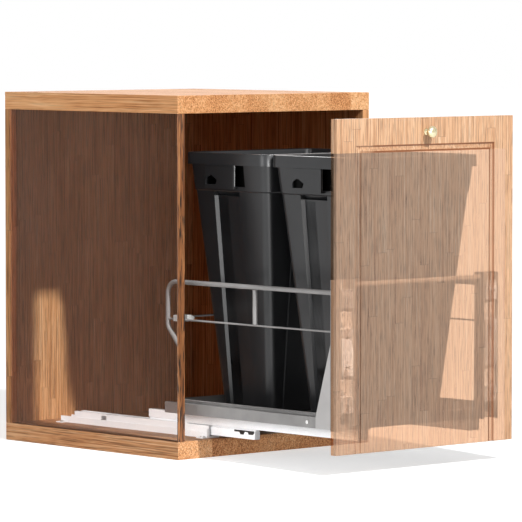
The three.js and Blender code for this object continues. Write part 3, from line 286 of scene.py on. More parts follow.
# The stile's solid part is narrower at the rear, or it would show beside the front's as a dark band.
line = door_high[0] - SOLID_EDGE
line = add(tree, "MapRange", {0: face, 3: line + door_high[1] - door_low[1], 4: line})
stile = add(tree, "Math", {0: place["X"], 1: line}, operation="GREATER_THAN")
line = door_high[2] - INSET - MOULDING_WIDTH
rail = add(tree, "Math", {0: place["Z"], 1: line}, operation="GREATER_THAN")
solid = add(tree, "Math", {0: stile, 1: rail}, operation="MAXIMUM")
share = add(tree, "MapRange", {0: face, 3: FACE_SHARE[0], 4: FACE_SHARE[1]})
share = add(tree, "Math", {0: share, 1: solid}, operation="MAXIMUM")
print("door lets through", round((1 - FACE_SHARE[0]) * (1 - FACE_SHARE[1]), 2))

# %% [markdown]
# A film scatters paler than solid wood. The moulding's two sharp lines are darkened and let nothing
# through: partly stain that stays in them, and partly painted shade that deepens the groove's own shadow.
# The door's mesh will say where, in an attribute.

# %% Stain and painted shade in the moulding
FILM_PALER = 0.12


def tinged(tree, shader, share, colour):
    """Mixes the shader's base colour, as it is so far, with another colour by a share."""
    mixed = {0: share, 6: shader.inputs["Base Color"].links[0].from_socket, 7: linear(colour)}
    mixed = add(tree, "Mix", mixed, data_type="RGBA").outputs[2]
    feed(tree, shader, {"Base Color": mixed})


def see_through(tree, shader, share, tint):
    """For the camera's rays only, mixes a shader by its share with one that lets tinted light pass."""
    passing = add(tree, "BsdfTransparent", {"Color": linear(tint)})
    film = add(tree, "MixShader", {0: share, 1: passing, 2: shader})
    eye = add(tree, "LightPath").outputs["Is Camera Ray"]
    board = add(tree, "MixShader", {0: eye, 1: shader, 2: film})
    feed(tree, tree.nodes["Material Output"], {"Surface": board})


paler = add(tree, "MapRange", {0: solid, 3: FILM_PALER, 4: 0.0})
tinged(tree, shader, paler, "#e8e8e8")
# The moulding's lines: stain, and painted shade that darkens the groove and shuts the film there.
stain = add(tree, "Attribute", attribute_name="stain").outputs["Fac"]
tinged(tree, shader, stain, "#8a4f24")
share = add(tree, "Math", {0: share, 1: stain}, operation="MAXIMUM")
see_through(tree, shader, share, FACE_TINT)
print("door:", len(tree.nodes), "nodes")

# %% [markdown]
# The left side is a clear sheet with a faint brown smoke in it. The smoke grows towards the rear edge, as
# painted light that brightens the inside of the cabinet seen through it there.

# %% Clear side
# The rise of the share from the front to the rear edge is painted light on the cabinet's inside seen
# through the sheet.
CLEAR_SMOKE_AND_LIGHT = (0.04, 0.1)  # how much of a face is smoke, at the sheet's front and rear edge


def mottled(tree, shader, place, scale, detail, stops):
    """Slow noise mixes the base colour from near ones."""
    noise = add(tree, "TexNoise", {"Vector": place, "Scale": scale, "Detail": detail})
    feed(tree, shader, {"Base Color": add(tree, "ValToRGB", {"Fac": noise}, stops=stops)})


# Smoked acrylic, cast flat and polished: nearly invisible, with a faint warm veil and sharp glints.
clear_sheet, tree, shader, place = finish("smoked_acrylic_polished")
mottled(tree, shader, place, 6.0, 1.0, ((0.3, "#d6ab90"), (0.7, "#e0b79e")))
feed(tree, shader, {"Roughness": 0.12})
low, high = place_of("left_side_panel")
# The smoke's share grows towards the rear: painted light on the inside behind the sheet.
smoke_and_painted_light = add(tree, "SeparateXYZ", {0: place}).outputs["Y"]
smoke_and_painted_light = add(tree, "MapRange", {0: smoke_and_painted_light, 1: low[1], 2: high[1], 3: CLEAR_SMOKE_AND_LIGHT[0], 4: CLEAR_SMOKE_AND_LIGHT[1]})
see_through(tree, shader, smoke_and_painted_light, "#ffffff")
print("clear side lets through", [round((1 - share) ** 2, 2) for share in CLEAR_SMOKE_AND_LIGHT])

# %% [markdown]
# ## Metal and plastic
# The carriage is sheet steel and tube under a grey powder coat, the slides have a smooth white coat,
# screws, plates and ball cages are zinc plated, and the bins are moulded polypropylene. Each finish is a
# base colour broken up by noise, coarser than the real grain where that wouldn't show.

# %% Coats, plating and plastics
SPREAD = 0.05
GRAIN_DEPTH = 0.05  # as a share of the grain's width


def coated(name, light, dark, grain_mm, roughness, metallic=0.0, relief=0.1, patch_mm=40.0):
    """A coat or moulding: slow noise mixes two near colours, and fine noise gives roughness and relief."""
    material, tree, shader, place = finish(name)
    mottled(tree, shader, place, 1 / (patch_mm * MM), 3.0, ((0.3, dark), (0.7, light)))
    grain = add(tree, "TexNoise", {"Vector": place, "Scale": 1 / (grain_mm * MM), "Detail": 2.0})
    rough = {0: grain, 1: 0.3, 2: 0.7, 3: roughness - SPREAD, 4: roughness + SPREAD}
    bump = {"Height": grain, "Strength": relief, "Distance": GRAIN_DEPTH * grain_mm * MM}
    feed(tree, shader, {"Roughness": add(tree, "MapRange", rough), "Normal": add(tree, "Bump", bump)})
    feed(tree, shader, {"Metallic": metallic})
    return material


# Mild steel under a baked satin powder coat: even warm grey with a faint orange peel, drawn at 2 mm.
grey_coat = coated("grey_powder_coat", "#a3a1a0", "#959392", 2.0, 0.38, relief=0.15)
# The same coat on a flat gusset plate, thicker and lighter where the gun passed twice.
gusset_coat = coated("grey_powder_coat_plate", "#cfcdcc", "#c4c2c1", 2.0, 0.38, relief=0.15)
# Rolled steel under white stove enamel: hard, bright and glossy, so that its bends draw clean lines.
white_coat = coated("white_stove_enamel", "#fbfbfc", "#f4f5f7", 3.0, 0.3, relief=0.08)
# Steel, zinc plated and passivated: bright bluish metal with cloudy spangles a few millimetres wide.
zinc = coated("zinc_plating", "#e4e4e2", "#dadad8", 6.0, 0.34, metallic=1.0, patch_mm=9.0)
# Pressed steel, zinc plated and blue passivated: a pale bluish satin that still shows in the shade.
plated_plate = coated("blue_passivated_zinc", "#dce6f0", "#ced9e4", 6.0, 0.42, metallic=0.2, patch_mm=9.0)
# Brass, turned, pale plated and lacquered: a soft gold that mirrors the room in bands.
pale_brass = coated("pale_turned_brass", "#d9cfae", "#cbbf99", 3.0, 0.26, metallic=1.0, patch_mm=6.0)
# Polypropylene, injected against a spark-eroded mould: near black, with a low broad sheen. The real
# grain is 0.1 mm; it is drawn at 1.6 mm.
coarse = {"relief": 0.3, "patch_mm": 120.0}
black_plastic = coated("black_moulded_polypropylene", "#28292b", "#212224", 1.6, 0.33, **coarse)
# In the hand pocket and in the slot the colour is painted near black and the sheen is cut down: painted
# shade, where these recesses lie in shadow.
tree = black_plastic.node_tree
shader = tree.nodes["Principled BSDF"]
deep = add(tree, "Attribute", attribute_name="deep").outputs["Fac"]
tinged(tree, shader, deep, "#030303")
pocket_shade_specular = add(tree, "MapRange", {0: deep, 3: 0.5, 4: 0.05})
feed(tree, shader, {"Specular IOR Level": pocket_shade_specular})
# Nylon, injected in a polished mould: milky white and slightly glossy.
white_plastic = coated("white_moulded_nylon", "#f7f6f3", "#ecebe7", 2.0, 0.35, relief=0.1)
print(len(bpy.data.materials), "finishes so far")

# %% [markdown]
# ## Turning arrays into pieces
# A surface is a grid of points: rows along it and a closed ring around it. The first function joins
# neighbouring rings by quads and closes both ends. The others put points and faces into a mesh, turn
# its faces outwards, shade it smooth except at real edges, and let it ride on its body.

# %% Helpers for meshes
SHARP_ANGLE = np.radians(35)
SIDES = ((-1, "left"), (1, "right"))


def skin(rings, wrap=False):
    """Rings is an array (ring, point, xyz). Point j of a ring joins point j and j + 1 of the next."""
    numbers = np.arange(rings.shape[0] * rings.shape[1]).reshape(rings.shape[:2])
    around = np.roll(numbers, -1, axis=1)
    rows = slice(None) if wrap else slice(None, -1)
    ahead, ahead_around = (np.roll(a, -1, axis=0)[rows] for a in (numbers, around))
    quads = np.stack([numbers[rows], around[rows], ahead_around, ahead], -1).reshape(-1, 4).tolist()
    caps = [] if wrap else [numbers[0][::-1].tolist(), numbers[-1].tolist()]
    return rings.reshape(-1, 3), quads + caps


def merged(*shells):
    """Several (points, faces) as one: each shell's face numbers move up by the points before it."""
    starts = np.cumsum([0] + [len(points) for points, _ in shells])
    faces = [[n + int(start) for n in face] for (_, part), start in zip(shells, starts) for face in part]
    return np.concatenate([points for points, _ in shells]), faces


def mesh_of(name, shell):
    """A mesh from (points, faces), in metres."""
    mesh = bpy.data.meshes.new(name)
    mesh.from_pydata(shell[0].tolist(), [], shell[1])
    return mesh


def finished(name, mesh, body, material, stands_for, slot, bevel_mm=0.0):
    """Turns a mesh's faces outwards, gives it its finish and eased edges, and lets it ride on a body."""
    shape = bmesh.new()
    shape.from_mesh(mesh)
    bmesh.ops.recalc_face_normals(shape, faces=shape.faces)
    shape.to_mesh(mesh)
    shape.free()
    mesh.materials.append(material)
    mesh.shade_smooth()
    mesh.set_sharp_from_angle(angle=SHARP_ANGLE)
    made = in_scene(name, mesh)
    if bevel_mm:
        edge = made.modifiers.new("eased_edges", "BEVEL")
        edge.width = bevel_mm * MM
        edge.segments = 2
        edge.angle_limit = SHARP_ANGLE
        edge.harden_normals = True
    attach(made, body)
    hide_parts(*stands_for)
    return made


def piece(name, shell, *settings, **bevel):
    """A piece from (points, faces): the settings are those of `finished`."""
    return finished(name, mesh_of(name, shell), *settings, **bevel)


def marked(made, name, values):
    """Writes a number for each point of a piece into an attribute, which its finish reads."""
    made.data.attributes.new(name, "FLOAT", "POINT").data.foreach_set("value", values)


print("edges sharper than", round(np.degrees(SHARP_ANGLE)), "degrees stay crisp")

# %% [markdown]
# ## Boards
# A board is a rectangle drawn out by its thickness. Its edges are broken with sandpaper or a router
# bit, and that thin rounded line catches the light, so each block gets a bevel. Where the clear side
# meets the back, a slim three-cornered bead of veneer fills the rabbet, or a dark gap would show.

# %% Cabinet boards
EDGE_EASE_MM, THIN_EASE_MM = 1.0, 0.5
BEAD_WIDTH, BEAD_INSET = 7 * MM, 0.2 * MM


def drawn_out(outline, axis, start, end):
    """A flat outline carried straight along an axis, from start to end: two rings of its points."""
    outline = np.array(outline, float)
    return skin(np.array([np.insert(outline, axis, place, axis=1) for place in (start, end)]))


def block(low, high):
    """A box: the rectangle of its lowest and highest corner, drawn out upwards."""
    corners = [(low[0], low[1]), (high[0], low[1]), (high[0], high[1]), (low[0], high[1])]
    return drawn_out(corners, 2, low[2], high[2])


BOARDS = {"top_panel": slab_wood, "bottom_panel": base_wood, "back_panel": back_wood}
BOARDS |= {"right_side_panel": side_wood, "left_front_edge_strip": strip_wood}
for board, wood in BOARDS.items():
    ease = THIN_EASE_MM if "strip" in board else EDGE_EASE_MM
    shell = block(*place_of(board))
    piece(f"{board}_board", shell, "cabinet", wood, [board], "cabinet_wood", bevel_mm=ease)
low, high = place_of("left_side_panel")
out, rear = low[0] + BEAD_INSET, high[1]
bead = drawn_out([(out, rear - BEAD_WIDTH), (high[0], rear), (out, rear)], 2, low[2], high[2])
piece("rear_corner_bead", bead, "cabinet", back_wood, ["back_panel"], "cabinet_wood")
shell, node = block(low, high), "left_side_panel"
piece("clear_side_sheet", shell, "cabinet", clear_sheet, [node], "clear_panel", bevel_mm=THIN_EASE_MM)
print("boards:", ", ".join(BOARDS))

# %% [markdown]
# ## The door
# One oak board with a moulding routed into its face: a groove that follows the sides and the top and
# runs out at the bottom edge. The face is a height field: at each point the depth depends only on the
# distance inside the moulding's outline.

# %% Door
# At each distance inside the outline (mm), the depth of the cut (mm), and the strength of the stain and
# painted shade.
PROFILE_MM = ((-1, 0), (0, 0), (0.4, 2.6), (2.2, 3.5), (5.6, 3.5))
PROFILE_MM += ((6.0, 2.9), (11.6, 1.2), (12, 2.2), (13.6, 2.2), (14, 0))
STAIN_AND_SHADE_PROFILE = ((-1.2, 0), (-0.6, 0.8), (2.2, 0.8), (3, 0.15))
STAIN_AND_SHADE_PROFILE += ((10, 0.1), (11.2, 0.9), (14.2, 0.9), (14.8, 0))
# The dark lines of stain and painted shade are fainter on the left stile, by this share.
LEFT_STAIN_AND_SHADE = 0.3  # less took on the left
FACE_PITCH = 12 * MM


def inside_moulding(x, z, half, top):
    """Distance inside the moulding's outline: the smaller of those from its sides and from its top."""
    return np.minimum(half - INSET - np.abs(x), top - INSET - z)


def door_shell():
    """Front grid (height field), its outline carried back to the rear face, and the rear face."""
    low, high = place_of("door")
    half = high[0]
    lines = np.array(PROFILE_MM + STAIN_AND_SHADE_PROFILE)[:, 0] * MM
    right = half - INSET - lines
    across = np.linspace(low[0], high[0], int(2 * half / FACE_PITCH))
    x = np.unique(np.round(np.concatenate([across, right, -right]), 6))
    upright = np.linspace(low[2], high[2], int((high[2] - low[2]) / FACE_PITCH))
    z = np.unique(np.round(np.concatenate([upright, high[2] - INSET - lines]), 6))
    grid_x, grid_z = np.meshgrid(x, z)
    inside = inside_moulding(grid_x, grid_z, half, high[2])
    depth = np.interp(inside, *(np.array(PROFILE_MM).T * MM))
    front = np.stack([grid_x, low[1] + depth, grid_z], -1)
    numbers = np.arange(grid_x.size).reshape(grid_x.shape)
    corners = [numbers[:-1, :-1], numbers[:-1, 1:], numbers[1:, 1:], numbers[1:, :-1]]
    faces = np.stack(corners, -1).reshape(-1, 4).tolist()
    outline = np.concatenate([numbers[0, :-1], numbers[:-1, -1], numbers[-1, :0:-1], numbers[:0:-1, 0]])
    points = front.reshape(-1, 3)
    back = points[outline].copy()
    back[:, 1] = high[1]
    behind = np.arange(len(outline)) + len(points)
    sides = np.stack([outline, behind, np.roll(behind, -1), np.roll(outline, -1)], -1).tolist()
    return np.concatenate([points, back]), faces + sides + [behind.tolist()]


shell = door_shell()
door = piece("door_panel", shell, "carriage", door_wood, ["door"], "door_wood")
x, y, z = shell[0].T
reach, strength = np.array(STAIN_AND_SHADE_PROFILE).T
stain = np.interp(inside_moulding(x, z, door_high[0], door_high[2]), reach * MM, strength)
stain *= np.where(x < -door_high[0] + 2 * INSET, LEFT_STAIN_AND_SHADE, 1)
marked(door, "stain", stain * (y < door_high[1] - MM))
print("door faces:", len(door.data.polygons))

# %% [markdown]
# ## Turned pieces
# The knob is turned on a lathe, so it is one outline spun round an axis. Struts, wires and the bar
# between the brackets are round too: the same function turns them, with a little flare at each end
# where the weld runs on to its neighbour.

# %% Lathe and knob
LATHE_SIDES = 32


def turned(outline, centre, axis):
    """Spins (radius, height) pairs round an axis: a ring is centre + height along the axis + radius
    times cosine and sine along the other two axes."""
    angle = np.linspace(0, 2 * np.pi, LATHE_SIDES, endpoint=False)
    radius, height = np.array(outline).T
    rings = np.zeros((len(radius), LATHE_SIDES, 3)) + centre
    rings[..., axis] += height[:, None]
    rings[..., (axis + 1) % 3] += radius[:, None] * np.cos(angle)
    rings[..., (axis + 2) % 3] += radius[:, None] * np.sin(angle)
    return skin(rings)


def knob_outline(projection, head):
    """Foot, hollow neck and domed head of a knob, as radius and height in shares of its size."""
    shares = [(0.6, 0), (0.6, 0.05), (0.56, 0.09), (0.4, 0.16), (0.35, 0.26), (0.36, 0.38), (0.5, 0.48)]
    shares += [(0.86, 0.57), (0.97, 0.63), (1.0, 0.69)]
    dome = np.linspace(0, np.pi / 2, 12)[1:]
    shares += [(max(np.cos(a), 0.02), 0.69 + 0.31 * np.sin(a)) for a in dome]
    return [(r * head, -h * projection) for r, h in shares]


low, high = place_of("knob")
knob_centre = ((low[0] + high[0]) / 2, high[1], (low[2] + high[2]) / 2)
knob_shell = turned(knob_outline(high[1] - low[1], (high[0] - low[0]) / 2), knob_centre, axis=1)
piece("turned_knob", knob_shell, "carriage", pale_brass, ["knob"], "knob_metal")
print("knob", np.round((high - low) / MM, 1), "mm")

# %% [markdown]
# ## Tubes and wires
# Each side loop is one steel tube bent cold on a former: straight runs joined by round bends, and an
# S-bend low down that brings the foot forwards. A circle is carried along a centre line of such runs.

# %% Bent tubes
ARC_STEPS, TUBE_SIDES = 10, 24
WELD_FLARE, WELD_LENGTH = 0.8 * MM, 1.6 * MM
FOOT_AHEAD = 40 * MM  # the loop's foot stands this far in front of its rear leg
NECK_LOW, NECK_HIGH = 116 * MM, 160 * MM
BEND_RADII = np.array([22, 22, 26]) * MM


def bent_line(corners, radii):
    """Straight runs with an arc at each inner corner: the arc starts radius / tan(half angle) before
    the corner, and its points turn round a centre on the bisector."""
    line = [corners[0]]
    for before, corner, after, radius in zip(corners, corners[1:], corners[2:], radii):
        back, ahead = ((p - corner) / np.linalg.norm(p - corner) for p in (before, after))
        half = np.arccos(back @ ahead) / 2
        bisector = (back + ahead) / np.linalg.norm(back + ahead)
        centre = corner + bisector * radius / np.sin(half)
        start = corner + back * radius / np.tan(half) - centre
        side = -back + (back @ start) / (start @ start) * start
        side *= radius / np.linalg.norm(side)
        turn = np.linspace(0, np.pi - 2 * half, ARC_STEPS)[:, None]
        line.extend(centre + start * np.cos(turn) + side * np.sin(turn))
    return np.array([*line, corners[-1]])


def carried(section, line, side):
    """Carries a flat section along a line that stays square to `side`: a section point (a, b) lies at
    line + a * side + b * (tangent x side)."""
    tangent = np.gradient(line, axis=0)
    tangent /= np.linalg.norm(tangent, axis=1, keepdims=True)
    up = np.cross(tangent, side)
    rings = line[:, None] + section[None, :, :1] * side + section[None, :, 1:] * up[:, None]
    return skin(rings)


def circle(diameter):
    """Points of a circle: radius times cosine and sine of equal angles."""
    angle = np.linspace(0, 2 * np.pi, TUBE_SIDES, endpoint=False)
    return np.stack([np.cos(angle), np.sin(angle)], -1) * diameter / 2


def loop_line(node):
    """Centre line of a side loop: foot, S-bend, rear leg, top corner and the run to the door bracket."""
    low, high = place_of(node)
    tube = high[0] - low[0]
    x, rear = (low[0] + high[0]) / 2, high[1] - tube / 2
    base, foot, top = low[2], rear - FOOT_AHEAD, high[2] - tube / 2
    run = [(foot, base), (foot, base + NECK_LOW), (rear, base + NECK_HIGH), (rear, top), (low[1], top)]
    return bent_line([np.array([x, y, z]) for y, z in run], BEND_RADII), tube


def welded_rod(node, axis):
    """Lays a round rod along an axis of the working piece's box, with a weld flare at both ends."""
    low, high = place_of(node)
    length, radius = high[axis] - low[axis], (high[axis - 1] - low[axis - 1]) / 2
    outline = [(radius + WELD_FLARE, 0), (radius + WELD_FLARE / 3, WELD_LENGTH / 2), (radius, WELD_LENGTH)]
    outline += [(r, length - h) for r, h in reversed(outline)]
    centre = (low + high) / 2
    centre[axis] = low[axis]
    shell = turned(outline, centre, axis)
    return piece(f"welded_{node}", shell, "carriage", grey_coat, [node], "grey_steel")


def with_ends(line):
    """The same line with a point just inside each end, so that its end rings stay square."""
    first, last = (line[i] + (line[j] - line[i]) * 0.02 for i, j in ((0, 1), (-1, -2)))
    return np.array([line[0], first, *line[1:-1], last, line[-1]])


X_AXIS = np.array([1.0, 0.0, 0.0])
for _, side in SIDES:
    node = f"side_loop_{side}"
    line, tube = loop_line(node)
    shell = carried(circle(tube), with_ends(line), X_AXIS)
    piece(f"bent_loop_{side}", shell, "carriage", grey_coat, [node], "grey_steel")
    welded_rod(f"side_strut_{side}", 2)
    welded_rod(f"side_wire_{side}", 1)
welded_rod("rear_wire", 0)
welded_rod("bracket_crossbar", 0)
print("loop line", len(line), "points, tube", round(tube / MM, 1), "mm")

# %% [markdown]
# ## The bins
# A bin is one injection moulding. Its walls lean out towards the top so that it lets go of the mould,
# a flute and a slot stiffen each long side, a collar and a turned-out rim stiffen the mouth, and a
# pocket under the rim leaves room for fingers behind the handle. A recess only limits how far out the
# side wall may stand.

# %% Bin walls
WALL = 3 * MM
RIM_HEIGHT, COLLAR_HEIGHT, COLLAR_STEP = 25 * MM, 56 * MM, 2.5 * MM
OVERHANG, RIM_RADIUS = 8 * MM, 26 * MM
LEAN_X, LEAN_Y = 56 * MM, 46 * MM
FLUTE = {"front": -30 * MM, "rear": 50 * MM, "run_out": 45 * MM, "draft": 4.5 * MM}
FLUTE |= {"foot": 5 * MM, "top": 7.5 * MM}  # its depth there
SLOT_DEPTH, SLOT_HEIGHT = 17 * MM, 9 * MM
POCKET = {"front": -51 * MM, "rear": 69 * MM, "floor": 17.5 * MM, "ledge": 45 * MM}
PANEL_HALF, PANEL_RISE = 87 * MM, 3 * MM
STEP = 0.5 * MM  # width of a sharp moulded step
SPACING = 1.5 * MM  # least distance of a wall's points from each other
ROUND, FOOT = 2 * MM, 2.5 * MM  # of the rim's upper edge and of the foot's edge


class Bin:
    """The sizes of one bin, taken from its working piece."""

    def __init__(self, node):
        low, high = place_of(node)
        self.centre = (low + high) / 2
        self.half_x, self.half_y = (high[:2] - low[:2]) / 2
        self.base, self.top = low[2], high[2]
        self.rim_base = self.top - RIM_HEIGHT
        self.collar_base = self.rim_base - COLLAR_HEIGHT

    def wall(self, z):
        """Half width and half length of the outer wall at a height: both shrink evenly towards the foot."""
        lean = (self.top - z) / (self.top - self.base)
        return self.half_x - OVERHANG - LEAN_X * lean, self.half_y - OVERHANG - LEAN_Y * lean

    def limit(self, y, z, margin):
        """How far out the long wall may stand at (y, z): the least of the flute, slot and pocket there.
        The margin widens each recess for the inner face of the wall."""
        out = self.wall(z)[0]
        share = (z - self.base) / (self.collar_base - self.base)
        ahead, behind = y - FLUTE["front"] + margin, FLUTE["rear"] - y + margin
        slope = np.clip(np.minimum(ahead / FLUTE["run_out"], behind / FLUTE["draft"]), 0, 1)
        sharp = np.clip(np.minimum(ahead, behind) / FLUTE["draft"], 0, 1)
        under = z < self.collar_base + margin
        slot = under & (z > self.collar_base - SLOT_HEIGHT - margin)
        depth = FLUTE["foot"] + (FLUTE["top"] - FLUTE["foot"]) * share
        flute = np.where(under, out - np.where(slot, sharp * SLOT_DEPTH, slope * depth), np.inf)
        in_pocket = (y > POCKET["front"] - margin) & (y < POCKET["rear"] + margin)
        level = (z > self.rim_base - POCKET["ledge"] - margin) & (z < self.rim_base + margin)
        pocket = np.where(in_pocket & level, self.half_x - POCKET["floor"], np.inf)
        return np.minimum(flute, pocket)

# %% [markdown]
# All of it is one grid: rings of a rounded rectangle that climb the outside, pass over the rim and go
# down the inside.

# %% Bin rings


def stepped(edges):
    """Each edge as two positions a hair apart, so that a step between them is sharp."""
    return np.sort(np.concatenate([np.array(edges) - STEP / 2, np.array(edges) + STEP / 2]))


def ring_places(shape, z, grow, margin, radius):
    """One ring at height z: right wall, rear corner, rear wall and so on, as a rounded rectangle grown
    by `grow`, with the recesses of the long walls and the raised panels of the end walls."""
    half_x, half_y = (h + grow for h in shape.wall(z))
    reach_y, reach_x = half_y - radius, half_x - radius
    pocket = stepped([POCKET["front"] - margin, POCKET["rear"] + margin])
    flute = FLUTE["front"] + np.array([0, FLUTE["draft"], FLUTE["run_out"]]) - margin
    flute = np.concatenate([flute, FLUTE["rear"] + margin - np.array([FLUTE["draft"], 0])])
    steps = np.sort(np.concatenate([pocket, flute]))
    room = reach_y - SPACING * np.arange(len(steps), 0, -1)
    inner = np.where(steps > 0, np.minimum(steps, room), np.maximum(steps, -room[::-1]))
    y = np.concatenate([[-reach_y], inner, [reach_y]])
    out = np.minimum(half_x, shape.limit(y, z, margin))
    panel = stepped([-PANEL_HALF, PANEL_HALF])
    panel = np.clip(panel, -reach_x + MM, reach_x - MM)
    x = np.concatenate([[-reach_x], panel, [reach_x]])
    raised = (np.abs(x) < PANEL_HALF) & (z < shape.collar_base) & (margin == 0)
    turn = np.linspace(0, np.pi / 2, ARC_STEPS)[1:-1]
    corner = np.stack([reach_x + radius * np.cos(turn), reach_y + radius * np.sin(turn)], -1)
    right = np.stack([out, y], -1)
    rear = np.stack([x[::-1], half_y + np.where(raised, PANEL_RISE, 0)], -1)
    left, front = right[::-1] * (-1, 1), rear[::-1] * (1, -1)
    across = corner[::-1] * (-1, 1)
    ring = [right, corner, rear, across, left, -corner, front, -across]
    return np.insert(np.concatenate(ring), 2, z, axis=1)


def bin_shell(shape):
    """Rings from the foot up the outside, over the rim and down the inside to the floor."""
    outer, inner = RIM_RADIUS - OVERHANG, RIM_RADIUS - OVERHANG - WALL
    base, collar, rim, top = shape.base, shape.collar_base, shape.rim_base, shape.top
    slot, ledge = collar - SLOT_HEIGHT, rim - POCKET["ledge"]
    to_rim = [shape.half_x - shape.wall(z)[0] for z in (rim, top)]
    climb, sink = np.linspace(base, slot, 10)[1:-1], np.linspace(slot, base + 2 * WALL, 10)[1:]
    drops = [z + step for z in (rim + WALL, ledge - WALL, slot - WALL) for step in (STEP, -STEP)]
    # Each row is a height, how far the ring grows, the recesses' margin and the corners' radius.
    rows = [(base, -FOOT, 0, outer - FOOT), (base + FOOT / 3, -FOOT / 4, 0, outer)]
    rows += [(z, 0, 0, outer) for z in (base + FOOT, *climb, *stepped([slot]), collar - STEP, collar)]
    collar_rows = (collar + COLLAR_STEP, *stepped([ledge]), rim - STEP, rim)
    rows += [(z, COLLAR_STEP, 0, outer + COLLAR_STEP) for z in collar_rows]
    rows += [(rim, to_rim[0], 0, RIM_RADIUS), (top - ROUND, to_rim[1] + 0.02 * MM, 0, RIM_RADIUS)]
    rows += [(top - 0.3 * ROUND, to_rim[1] - 0.3 * ROUND, 0, RIM_RADIUS)]
    rows += [(top, to_rim[1] - ROUND, 0, RIM_RADIUS - ROUND), (top, -WALL / 2, 0, inner)]
    rows += [(z, -WALL, WALL, inner) for z in (top - WALL / 2, *drops, *sink)]
    rows += [(base + WALL, -2 * WALL, WALL, inner)]
    rings = np.array([ring_places(shape, *row) for row in rows])
    rings[..., :2] += shape.centre[:2]
    return skin(rings)

# %% [markdown]
# The handle is a flat bar that bridges the pocket, from a small ledge up to the rim, with a hump-shaped
# hole at its rear end and a slanted rib along its front end, which catches the light. A plate with a
# hole is again a grid: one ring follows the hole and the other the plate's edge, with as many points.

# %% Bin handles
HANDLE = {"front": -27 * MM, "rear": 63 * MM, "face": 1.5 * MM, "wall": 3 * MM, "height": 50 * MM}
HANDLE |= {"ledge": 5 * MM, "rib_width": 4 * MM, "rib_depth": 5.5 * MM, "under_rim": 0.2 * MM}
HOLE_MM = ((59, 9), (59, 18.5), (56, 23), (47, 28), (42, 28), (33, 23), (25, 18.5), (29, 9))


def handle_shell(shape, side):
    """Plate with a hole: four rings (hole and edge, inner and outer face) that join up round the wall."""
    middle = shape.centre * [1, 1, 0]
    face, foot = shape.half_x - HANDLE["face"], shape.rim_base - HANDLE["height"]
    inner, hole = face - HANDLE["wall"], np.array(HOLE_MM) * MM
    front, rear, height = HANDLE["front"], HANDLE["rear"], HANDLE["height"] - HANDLE["under_rim"]
    edge = [(rear, 0), (rear, 0.5 * height), (rear, height), (0.6 * rear, height)]
    edge = np.array([*edge, (0, height), (front, height), (front, 0.3 * height), (front, 0)])
    rings = ((face, hole), (face, edge), (inner, edge), (inner, hole))
    rings = np.array([np.insert(ring + [0, foot], 0, side * out, axis=1) for out, ring in rings])
    x = sorted([side * (shape.wall(foot)[0] - WALL), side * (face - HANDLE["wall"] / 2)])
    ledge = block(middle + [x[0], front, foot], middle + [x[1], rear, foot + HANDLE["ledge"]])
    tip, root = front + HANDLE["rib_width"], face - HANDLE["rib_depth"]
    rib = np.array([(face, tip), (root, front), (root, tip)]) * [side, 1] + middle[:2]
    return merged(skin(rings + middle, wrap=True), ledge, drawn_out(rib, 2, foot, foot + height))


def pocket_shade_places(shape, points):
    """1 for points in the hand pocket or in the slot, where the bin's finish paints shade, and 0 elsewhere.
    """
    (x, y), z = np.abs(points[:, :2] - shape.centre[:2]).T, points[:, 2]
    below, under_collar = shape.rim_base - z, shape.collar_base - z
    pocket = (x < shape.half_x - POCKET["floor"] + MM) & (below < POCKET["ledge"] + MM)
    slot = (x < shape.wall(z)[0] - SLOT_DEPTH / 2) & (under_collar > 0) & (under_collar < SLOT_HEIGHT + MM)
    return ((pocket | slot) & (below > -MM) & (y < POCKET["rear"] + MM)).astype(float)


for node in ("front_bin", "rear_bin"):
    shape = Bin(node)
    shell = bin_shell(shape)
    body = piece(f"{node}_body", shell, node, black_plastic, [node], "black_plastic")
    # The attribute marks where the bin's finish paints shade into the pocket and the slot.
    marked(body, "deep", pocket_shade_places(shape, shell[0]))
    for side, name in SIDES:
        handle = handle_shell(shape, side)
        piece(f"{node}_handle_{name}", handle, node, black_plastic, [node], "black_plastic", bevel_mm=0.5)
    print(node, len(body.data.polygons), "faces")

# %% [markdown]
# ## Folded and pressed steel
# The slides, rails, brackets and plates are folded or pressed from sheet, and each bend keeps a radius.
# The working pieces have the right folds, drawn sharp. So each is copied, its loose triangles are
# merged and joined into flat faces again, and a bevel rounds every fold and rim. Screws and ball cages
# keep their working shape.

# %% Eased steel
NODES = frame["nodes"]
SLOTS = {part["node"]: part["material_slot"] for part in frame["record"]["subparts"]}
FOLDED = (
    # finish, radius of the folds (mm), and the pieces' names without their side
    (white_coat, 0.7, ["floor_channel", "cabinet_slide_member", "drawer_slide_member"]),
    (white_coat, 0.9, ["middle_slide_member"]),
    (grey_coat, 0.8, ["base_side_rail", "front_cross_rail", "rear_cross_rail", "base_pan"]),
    (grey_coat, 0.7, ["door_bracket"]),
    (plated_plate, 0.6, ["adjuster_plate"]),
    (plated_plate, 0.8, ["cam_adjuster_lower", "cam_adjuster_upper"]),
    (white_plastic, 1.2, ["wire_clip"]),
)
STEEL = {stem: (coat, bend_mm) for coat, bend_mm, stems in FOLDED for stem in stems}


def eased(node, material, bend_mm):
    """A copy of a working piece with its triangles merged and flat ones joined, eased at every fold."""
    mesh = NODES[node].data.copy()
    mesh.materials.clear()
    shape = bmesh.new()
    shape.from_mesh(mesh)
    bmesh.ops.remove_doubles(shape, verts=shape.verts, dist=0.01 * MM)
    bmesh.ops.dissolve_limit(shape, angle_limit=np.radians(1), verts=shape.verts, edges=shape.edges)
    shape.to_mesh(mesh)
    shape.free()
    body = NODES[node]["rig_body"]
    return finished(f"eased_{node}", mesh, body, material, [node], SLOTS[node], bevel_mm=bend_mm)


